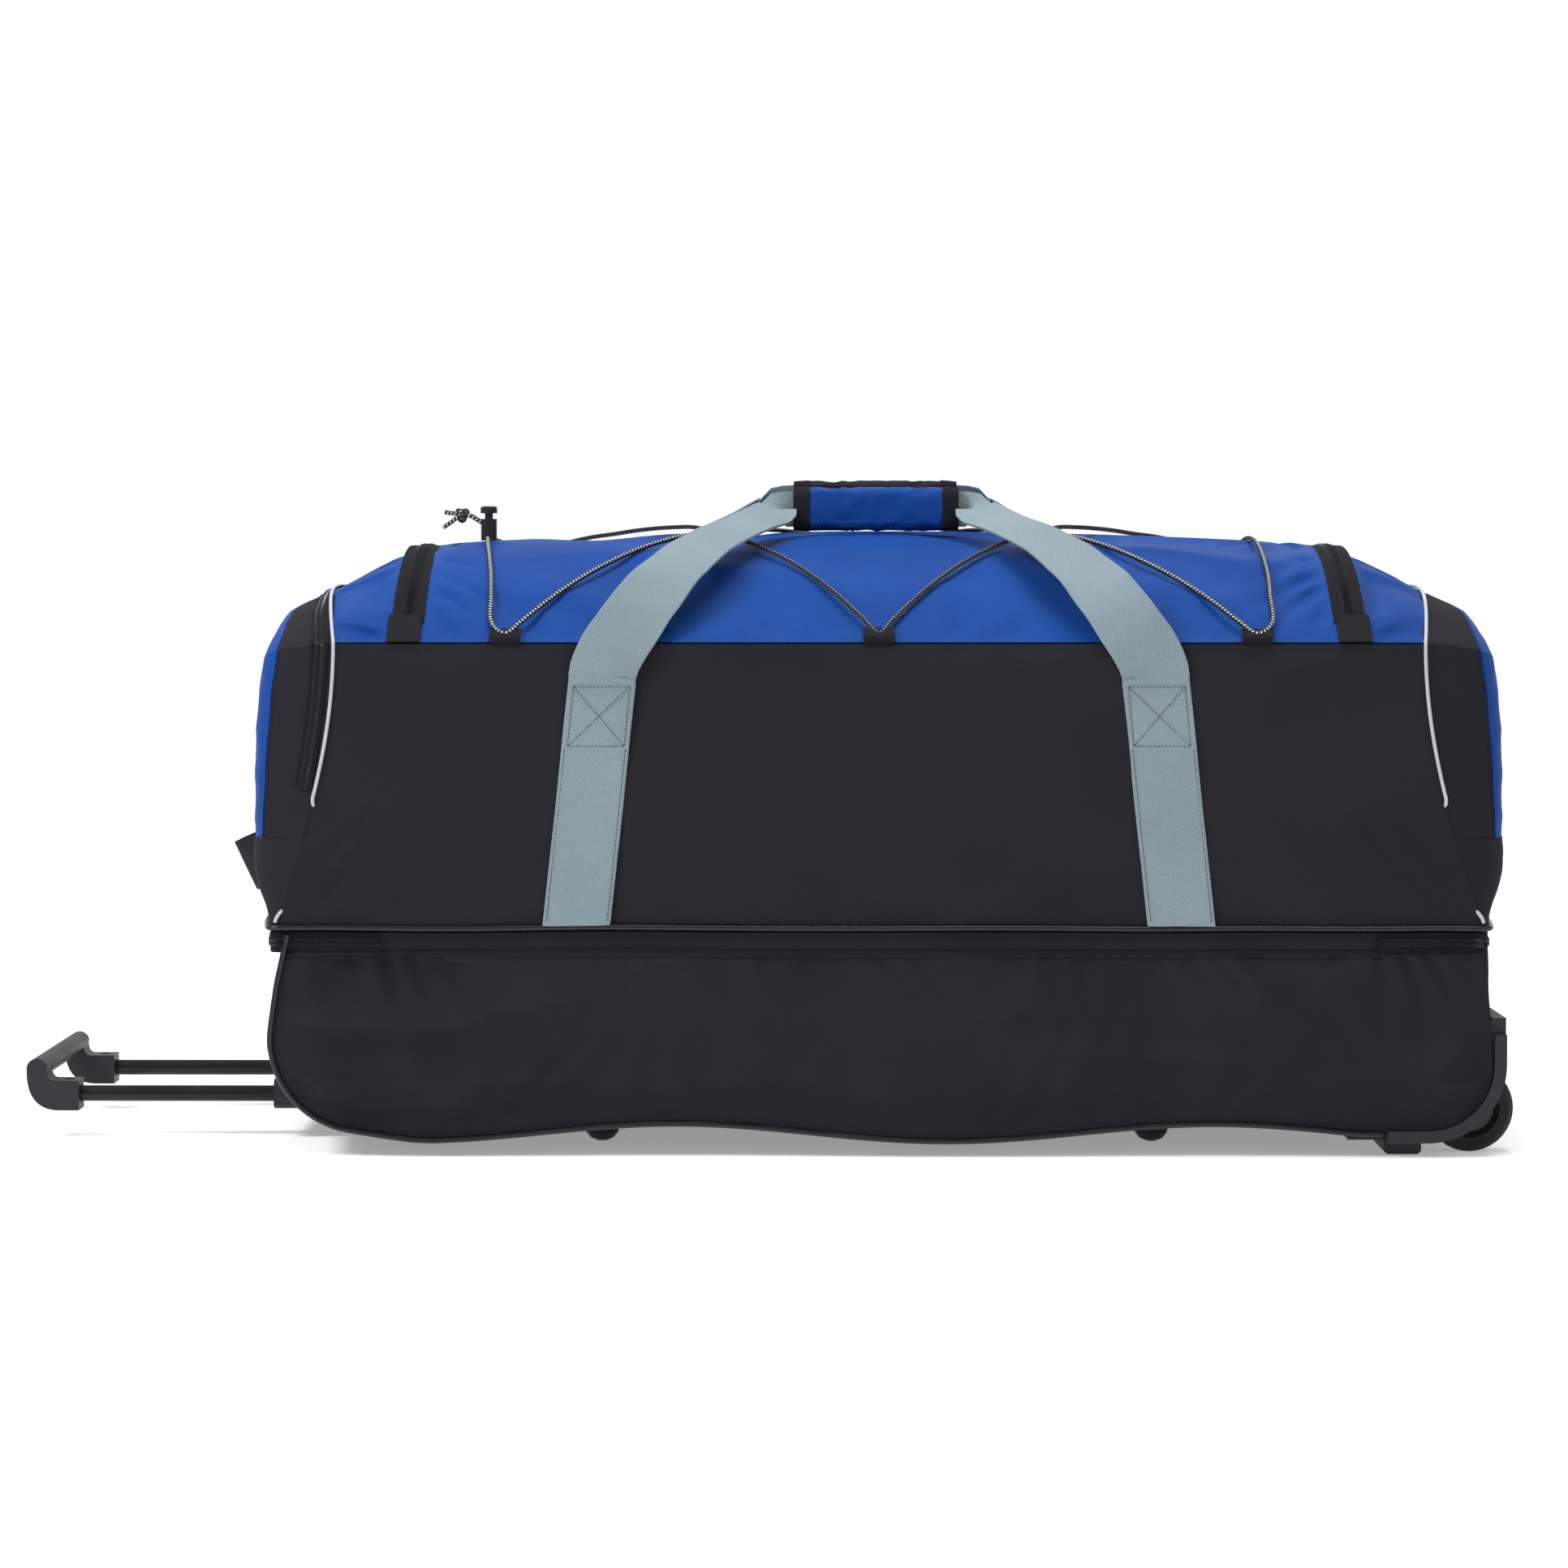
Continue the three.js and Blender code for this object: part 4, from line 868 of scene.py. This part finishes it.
def end_pocket(end, word, body, node):
    """An end pocket: black cloth from its seam out to the blue face, the face, and the stitching."""
    split = share_at(POCKET_SPLIT)

    def side_surface(u, v):
        return pocket_point(end, u, share_at(POCKET_SPLIT * v))

    def face_surface(u, v):
        return pocket_point(end, u, mix(split, 1, v**1.5)) + Vector((end * 0.8 * (1 - v), 0, 0))

    us = spread(120)
    inward = pocket_inward(end)
    sides = skin(f"{word}_pocket_sides", side_surface, us, spread(18), inward, BLACK_CLOTH)
    face = skin(f"{word}_pocket_face", face_surface, us, spread(46), inward, BLUE_CLOTH)
    hand_over(sides, body, node)
    hand_over(face, body, node)
    seam = []
    for u in spread(160):
        p = pocket_point(end, u, share_at(POCKET_SPLIT - 0.03))
        out = math.copysign(1, p.y)
        seam.append((p + Vector((0, 0.2 * out, 0)), Vector((0, out, 0.1))))
    thread = stitches(f"{word}_pocket_stitches", [seam], THREAD_BLACK)
    hand_over(thread, body)


def band_skin(end, word):
    def surface(u, v):
        across = math.sin(math.pi * (u - 0.5))
        z = mix(UPPER_BASE - 1.5, POCKET_BASE + 0.6, v)
        y = (panel_y_at(z) - 0.3) * across
        base = end_seam_at(z, y) + 0.4
        reach = mix(457, 469, smoothstep(v, 0, 0.7))
        crease = soft(y, z, 60, 1.8, 91) * smoothstep(v, 0, 0.2) * smoothstep(1 - v, 0, 0.2)
        out = pocket_out(1 - abs(across))
        return end * (base + (reach - base + crease) * out), y, z

    return skin(f"{word}_band_cloth", surface, spread(90), spread(20), end_inward(end), BLACK_CLOTH)


def end_piping_line(end):
    """Reflective piping: up one end seam, over the roof, and down the other side.

    The cloth bulges over it between the waist and PIPING_SHOWS_Z.
    """
    side = []
    for z in range(175, 383, 4):
        tucked = 3.4 * smoothstep(z, 179, 187) * (1 - smoothstep(z, PIPING_SHOWS_Z - 8, PIPING_SHOWS_Z))
        side.append((end * (end_seam_at(z) + 1.2 - tucked), panel_y_at(z) + 0.9 - tucked, z))
    points = [(x, -y, z) for x, y, z in side]
    for k in range(1, 30):
        y = -ROOF_HALF_WIDTH * math.cos(math.pi * k / 30)
        x = end_seam_at(ROOF_SEAM, y)
        p = Vector((end * (x + 1.2), y, roof_at(x, y))) + roof_out(y) * 1.0
        points.append(tuple(p))
    return smooth_line(points + side[::-1], 4)


def upper_compartment():
    for word, side in SIDES:
        name = f"upper_{word}_cloth"
        surface = upper_side_surface(side)
        panel = skin(name, surface, spread(240), spread(70), side_inward(side), BLACK_CLOTH)
        hand_over(panel, "upper", f"upper_{word}_panel")
        face = Vector((0, side, 0.05))
        y = side * (panel_y_at(379) + 0.2)
        seam = [(Vector((x, y, 379)), face) for x in range(-400, 401, 8)]
        thread = stitches(f"upper_{word}_stitches", [seam], THREAD_BLACK)
        hand_over(thread, "upper")
    for word, end in ENDS:
        name = f"{word}_wall_cloth"
        wall = skin(name, end_wall(end), spread(60), spread(30), end_inward(end), LINING)
        hand_over(wall, "upper", f"upper_{word}_end_panel")
        hand_over(band_skin(end, word), "upper", f"{word}_pocket_band")
        edge = ROOF_HALF_WIDTH - 0.2
        seam_x = lambda y, e=end: e * end_seam_at(ROOF_SEAM, y)
        name = f"roof_{word}_cloth"
        roof_skin(name, f"roof_{word}_strip", "upper", end * LID_HALF, seam_x, -edge, edge, 3, ROOF_SEED)
        piping = tube(f"{word}_end_piping", end_piping_line(end), 1.35, SILVER_PIPING)
        hand_over(piping, "upper")
    rear_strip = ("roof_rear_cloth", "roof_rear_strip", "upper")
    roof_skin(*rear_strip, -LID_HALF, lid_side, LID_REAR, ROOF_HALF_WIDTH - 0.2, 4, ROOF_SEED)
    end_pocket(1, "right", "upper", "right_pocket")
    end_pocket(-1, "left", "left_pocket", "left_pocket")


def pocket_zip():
    line = []
    start, end_turn = 0.07, 0.93
    for k in range(181):
        turn = mix(start, end_turn, k / 180)
        p = pocket_point(-1, turn, share_at(0.2))
        q = pocket_point(-1, turn, share_at(0.3))
        r = pocket_point(-1, turn + 0.004, share_at(0.2))
        face = (q - p).cross(r - p).normalized()
        if face.dot(Vector((0, p.y, max(0, p.z - 300)))) < 0:
            face = -face
        line.append((p, face))
    for word, side, body in (("inner", 1, "upper"), ("outer", -1, "left_pocket")):
        half = zip_half(f"left_pocket_zip_{word}", line, side, COIL, ZIP_TAPE, 4, 6.8)
        hand_over(half, body)


# ---- lid, its zip, the bungee cord ----
def roof_pair(x, y, lift=0.5):
    out = roof_out(y)
    return Vector((x, y, roof_at(x, y))) + out * lift, out


def lid_zip_line():
    pairs = [(-LID_HALF, y) for y in range(-166, 85, 5)]
    pairs += [(-LID_HALF + 1, 90), (-LID_HALF + 4, 93.7)]
    pairs += [(x, LID_REAR) for x in range(-345, 346, 6)]
    pairs += [(LID_HALF - 4, 93.7), (LID_HALF - 1, 90)]
    pairs += [(LID_HALF, y) for y in range(84, -167, -5)]
    return [roof_pair(x, y) for x, y in pairs]


def patch(name, x, y0, y1, half, lift, arch=0.0):
    """A piece of webbing on the lid. With arch, its middle stands up to let a cord through."""
    stations = []
    for t in spread(12):
        at, out = roof_pair(x, mix(y0, y1, t), lift + arch * math.sin(math.pi * t) ** 0.6)
        stations.append((at, out, half))
    hand_over(ribbon(name, stations, 1.6, BLACK_WEBBING), "lid")


# Where the cord runs over the lid: x, y, and how far its middle stands above the roof.
CORD_ROUTE = (
    ((LOCK_X, -14, 2.6), (-299, -60, 2.3), (-292, -120, 2.4), (-288, -170, 2.6), (-277, -180, 3.4)),
    ((-266, -170, 2.6), (-205, -108, 2.3), (-140, -42, 2.6), (-70, 30, 2.6), (-12, 80, 2.6), (0, 87, 2.8)),
    ((12, 80, 2.6), (70, 30, 2.6), (140, -42, 2.6), (205, -108, 2.3), (268, -170, 2.6), (280, -180, 3.4)),
    ((292, -170, 2.6), (294, -120, 2.4), (293, -40, 2.3), (292, 40, 2.3), (290, 78, 2.6), (280, 87, 2.8)),
    ((268, 78, 2.6), (205, 22, 2.6), (140, -42, 7), (78, -98, 2.8), (12, -168, 2.6), (0, -180, 3.4)),
    ((-12, -168, 2.6), (-78, -98, 2.8), (-140, -42, 7), (-205, 22, 2.6), (-264, 78, 2.6), (-275, 87, 2.8)),
    ((-286, 78, 2.6), (-296, 45, 2.3), (LOCK_X, 14, 2.6)),
)


def cord_line():
    line = []
    route = [point for run in CORD_ROUTE for point in run]
    for k, (start, end) in enumerate(zip(route, route[1:])):
        length = math.hypot(end[0] - start[0], end[1] - start[1])
        steps = max(1, round(length / 24))
        for i in range(1 if k else 0, steps + 1):
            x, y, height = (mix(a, b, i / steps) for a, b in zip(start, end))
            lean = abs(y) / ROOF_HALF_WIDTH
            line.append(Vector((x, y + math.copysign(height * lean, y), roof_at(x, y) + height * 1.1)))
    return smooth_line(line, 2.5)


def lid():
    panel = ("lid_cloth", "lid_panel", "lid")
    roof_skin(*panel, -LID_HALF, lid_side, -ROOF_HALF_WIDTH + 0.2, LID_REAR, 3.2, LID_SEED)
    line = lid_zip_line()
    for word, side, body in (("lid", -1, "lid"), ("roof", 1, "upper")):
        half = zip_half(f"lid_zip_{word}", line, side, COIL, ZIP_TAPE, 5, 12)
        hand_over(half, body)
    seam = -ROOF_HALF_WIDTH
    for word, end in ENDS:
        patch(f"lid_zip_tab_{word}", end * (LID_HALF + 2), seam + 1, seam + 24, 12.5, 2.6)
    for k, x in enumerate((-277, 0, 280)):
        patch(f"bungee_loop_front_{k + 1}", x, seam + 0.4, seam + 10, 11.5, 0.8, 6.0)
        patch(f"bungee_loop_rear_{k + 1}", x, LID_REAR - 16, LID_REAR - 3, 11.5, 0.8, 5.4)
    cord = tube("bungee_sleeve", cord_line(), CORD_RADIUS, BUNGEE, sides=10)
    hand_over(cord, "lid", "bungee_cord")


# ---- carry handles ----
STRAP_ROUTE = [
    ((-224.6, -192.2, 169), (0, -1, 0), 25),
    ((-219, -191, 220), (0, -1, 0), 25),
    ((-214, -189.6, 265), (0, -1, 0), 25),
    ((-209, -187.7, 315), (0, -1, 0), 25),
    ((-205, -186, 352), (0, -1, 0), 25),
    ((-204.2, -186.2, 361), (0, -1, 0), 25),
    ((-198, -187, 376), (0, -1, 0), 24.6),
    ((-186, -187, 394), (0, -1, 0.1), 24),
    ((-169, -178, 418), (0, -0.95, 0.3), 23),
    ((-148, -155, 441), (0, -0.75, 0.65), 21),
    ((-124, -120, 459), (0, -0.6, 0.8), 19),
    ((-99, -80, 471), (0, -0.6, 0.8), 17),
    ((-78, -50, 480), (0, -0.8, 0.6), 15.5),
    ((-62, -30, 483), (0, -1, 0.2), 14),
]


def strap_stations(side, grip_y, grip_z):
    last = STRAP_ROUTE[-1][0]
    half = []
    for k, (at, face, width) in enumerate(STRAP_ROUTE):
        share = clamp((k - 6) / (len(STRAP_ROUTE) - 7))
        moved = Vector(at) + Vector((0, grip_y - last[1], grip_z - last[2])) * share
        half.append((moved, Vector(face), width))
    other = [(Vector((-at.x, at.y, at.z)), face, width) for at, face, width in reversed(half)]
    flip = Vector((1, -side, 1))
    return [(at * flip, face * flip, width) for at, face, width in half + other]


def strap_height(z):
    """Where the sewn strap's outer face is at a height on the side panel."""
    return panel_y_at(z) + 3.75


def box_stitch(side, end):
    """A square with a cross in it, sewn through the head of a strap."""
    low, high, half = 306, 350, 21
    corners = {}
    for key, dx, z in (("a", -half, low), ("b", half, low), ("c", half, high), ("d", -half, high)):
        x = end * mix(209.5, 205.2, (z - low) / (high - low)) + dx
        corners[key] = Vector((x, side * (strap_height(z) + 0.1), z))
    face = Vector((0, side, 0))
    lines = []
    for a, b in ("ab", "bc", "cd", "da", "ac", "bd"):
        lines.append([(corners[a].lerp(corners[b], t), face) for t in spread(6)])
    return lines


def edge_stitches(side, end):
    face = Vector((0, side, 0))
    lines = []
    for dx in (-22.5, 22.5):
        line = []
        for z in range(176, 306, 8):
            x = end * mix(224, 205, (z - 174) / 178) + dx
            line.append((Vector((x, side * (strap_height(z) + 0.1), z)), face))
        lines.append(line)
    return lines


def grip_sleeve(name, x0, x1, centre, grow, steps, material, seed, waviness):
    """A padded tube of rounded oblong section from x0 to x1, about a centre of (y, z)."""
    points, uvs, faces = [], [], []
    around = 40
    power = 2 / 3.4
    for i in range(steps + 1):
        x = mix(x0, x1, i / steps)
        taper = 1 - 0.06 * (abs(x) / GRIP_HALF) ** 6
        for j in range(around + 1):
            angle = 2 * math.pi * j / around
            c, s = math.cos(angle), math.sin(angle)
            dy = math.copysign(abs(c) ** power, c) * (10.4 + grow)
            dz = math.copysign(abs(s) ** power, s) * (16.4 + grow)
            crease = waviness * soft(x * 1.4, j * 4, 34, 1.6, seed)
            y = centre[0] + (dy + c * crease) * taper
            points.append(Vector((x, y, centre[1] + (dz + s * crease) * taper)))
            uvs.append((x, 100 * j / around))
    for i in range(steps):
        for j in range(around):
            a = i * (around + 1) + j
            faces.append((a, a + 1, a + around + 2, a + around + 1))
    faces.append(tuple(range(around)))
    faces.append(tuple(steps * (around + 1) + j for j in reversed(range(around))))
    return make_mesh(name, points, faces, uvs, material)


def carry_grip(word, centre, cloth, thread, slot):
    """The padded sleeve round the middle of a carry strap, with a binding at each end."""
    name = f"grip_sleeve_{word}"
    body = f"{word}_handle"
    sleeve = grip_sleeve(name, -GRIP_HALF + 3, GRIP_HALF - 3, centre, 0, 60, cloth, 111, 1.0)
    hand_over(sleeve, body, f"carry_grip_{word}")
    for end_word, end in ENDS:
        edge = end * (GRIP_HALF + 1)
        strip_name = f"{name}_binding_{end_word}"
        strip = grip_sleeve(strip_name, edge - end * 12.5, edge, centre, 1.1, 12, BLACK_WEBBING, 115, 0.2)
        hand_over(strip, body)
    face = Vector((0, math.copysign(1, centre[0]), -0.2))
    row_y = centre[0] + face.y * 10.2
    row_z = centre[1] - 16 * 0.62
    row = [(Vector((x, row_y, row_z)), face) for x in range(-50, 51, 5)]
    hand_over(stitches(f"{name}_stitches", [row], thread), body)


def carry_handles():
    """The two straps of webbing from waist to waist, and the grips round their middles."""
    grips = {
        "front": (BLUE_CLOTH, THREAD_BLUE, "blue_fabric"),
        "rear": (BLACK_CLOTH, THREAD_BLACK, "black_fabric"),
    }
    for word, side in SIDES:
        grip_y, grip_z = GRIP_CENTRES[word]
        stations = smooth_stations(strap_stations(side, -abs(grip_y), grip_z), 4)
        strap = ribbon(f"carry_webbing_{word}", stations, WEBBING, GREY_WEBBING, PIPING_Z + 1.5)
        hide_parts(f"sewn_strap_{word}_left", f"sewn_strap_{word}_right", f"carry_strap_{word}")
        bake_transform(strap)
        lines = []
        for end in (-1, 1):
            lines += box_stitch(side, end) + edge_stitches(side, end)
        thread = stitches(f"strap_stitches_{word}", lines, THREAD_GREY, 2.8)
        hand_over(thread, "upper")
        carry_grip(word, (grip_y, grip_z), *grips[word])


# ---- grab handle at the left end ----
def grab_handle():
    """A loop of black webbing that stands out from the left band. Its rear half mirrors its front."""
    front = [
        ((-471.5, -66, 213), (-1, 0, 0), 21.5),
        ((-475, -54, 211), (-1, -0.5, -0.1), 21.5),
        ((-483, -38, 208), (-1, -0.5, -0.3), 21.5),
        ((-491.5, -20, 205), (-1, -0.2, -0.45), 21),
    ]
    rear = [((x, -y, z), (fx, -fy, fz), half) for (x, y, z), (fx, fy, fz), half in reversed(front)]
    path = front + [((-494, 0, 204), (-1, 0, -0.5), 20.5)] + rear
    handle = ribbon("grab_webbing", smooth_stations(path, 4), WEBBING, BLACK_WEBBING)
    hand_over(handle, "grab_handle", "grab_handle")


# ---- bungee tails and their knot ----
def bungee_tails():
    """The cord's two ends past the lock, tied in a trefoil knot."""
    knot_at = Vector((LOCK_X - 21, 0, 479))
    knot = []
    for k in range(73):
        t = 2 * math.pi * k / 72
        x = (math.sin(t) + 2 * math.sin(2 * t)) * 1.6
        z = (math.cos(t) - 2 * math.cos(2 * t)) * 1.6
        knot.append(knot_at + Vector((x, -math.sin(3 * t) * 2.2, z)))
    hand_over(tube("bungee_knot", knot, CORD_RADIUS, BUNGEE, sides=10), "lid")
    for word, side in (("a", -1), ("b", 1)):
        points = [
            (LOCK_X - 4, side * 2.0, 472),
            (LOCK_X - 9, side * 2.2, 475),
            (LOCK_X - 14, side * 2.4, 478),
            (LOCK_X - 21, side * 1.0, 479.5),
            (LOCK_X - 28, side * 4.5, 477 + side * 3),
            (LOCK_X - 35, side * 7.5, 475 + side * 6),
        ]
        line = smooth_line(points, 1.5)
        tail = tube(f"bungee_tail_{word}", line, CORD_RADIUS, BUNGEE, sides=10)
        hand_over(tail, "lid")


# ---- CAD nodes that are shown as they are ----
def dress_cad():
    """Gives the CAD nodes that stay in view their materials, chosen by how their names start."""
    looks = {
        "foot_": FOOT_PLASTIC,
        "wheel_housing": PLASTIC,
        "wheel_tyre": RUBBER,
        "wheel_hub": PLASTIC_SMOOTH,
        "axle_": STEEL,
        "trolley_outer": TUBE_METAL,
        "trolley_inner": TUBE_PAINT,
        "trolley_grip": PLASTIC,
        "trolley_exit": PLASTIC,
        "base_board": BOARD,
        "divider_floor": BOARD,
        "cord_lock": PLASTIC_SMOOTH,
        "lid_zip": SLIDER_METAL,
        "lower_zip": SLIDER_METAL,
    }
    for name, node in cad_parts.items():
        for start, material in looks.items():
            if name.startswith(start):
                node.data.materials.clear()
                node.data.materials.append(material)
                node.data.polygons.foreach_set("use_smooth", [True] * len(node.data.polygons))
                node.data.set_sharp_from_angle(angle=math.radians(35))


# ---- floor, light and camera ----
def studio():
    """A pale sweep: a floor that curves up into a wall, with a soft sky and three soft lamps."""
    sweep_look = hard_material("studio_paper", "f6f6f6", 40, 0.0, (0.85, 0.95), wear=0.01)
    glow = sweep_look.node_tree.nodes["Principled BSDF"].inputs
    glow["Emission Color"].default_value = (1, 1, 1, 1)
    glow["Emission Strength"].default_value = 0.3
    half, near, bend, radius, rise = 12, -9.0, 3.0, 2, 8.0
    profile = [(near, 0.0), (bend, 0.0)]
    for t in spread(24)[1:]:
        angle = math.pi / 2 * t
        profile.append((bend + radius * math.sin(angle), radius - radius * math.cos(angle)))
    profile.append((bend + radius, rise))
    points = [(x * half * 1000, y * 1000, z * 1000) for y, z in profile for x in (-1, 1)]
    faces = [(2 * k, 2 * k + 1, 2 * k + 3, 2 * k + 2) for k in range(len(profile) - 1)]
    sweep = make_mesh("studio_sweep", points, faces, [(0, 0)] * len(points), sweep_look)
    world = bpy.data.worlds.new("studio")
    bpy.context.scene.world = world
    world.use_nodes = True
    world.node_tree.nodes["Background"].inputs["Color"].default_value = (1, 1, 1, 1)
    world.node_tree.nodes["Background"].inputs["Strength"].default_value = 0.42
    bpy.context.scene.view_settings.view_transform = "Standard"
    lamps = (
        ("key", (-2.3, -1.6, 2.6), 1.0, 100),
        ("fill", (2.6, -2.0, 1.4), 2.2, 14),
        ("top", (0.3, 0.0, 2.6), 1.4, 56),
    )
    for name, place, size, power in lamps:
        light = bpy.data.lights.new(name, "AREA")
        light.size = size
        light.energy = power
        lamp = bpy.data.objects.new(name, light)
        lamp.location = place
        aim = Vector((0.05, 0, 0.25)) - Vector(place)
        lamp.rotation_euler = aim.to_track_quat("-Z", "Y").to_euler()
        bpy.context.scene.collection.objects.link(lamp)


def camera():
    """Looks at the bag's front from a little above, through a long lens."""
    lens = bpy.data.cameras.new("camera")
    lens.lens = 93.2
    lens.sensor_width = 36
    eye = bpy.data.objects.new("camera", lens)
    eye.location = (0.0382, -3.191, 0.4436)
    eye.rotation_euler = (math.radians(90 - 3.16), 0, math.radians(0.39))
    bpy.context.scene.collection.objects.link(eye)
    bpy.context.scene.camera = eye


lower_compartment()
waist()
upper_compartment()
pocket_zip()
lid()
carry_handles()
grab_handle()
bungee_tails()
dress_cad()
studio()
camera()
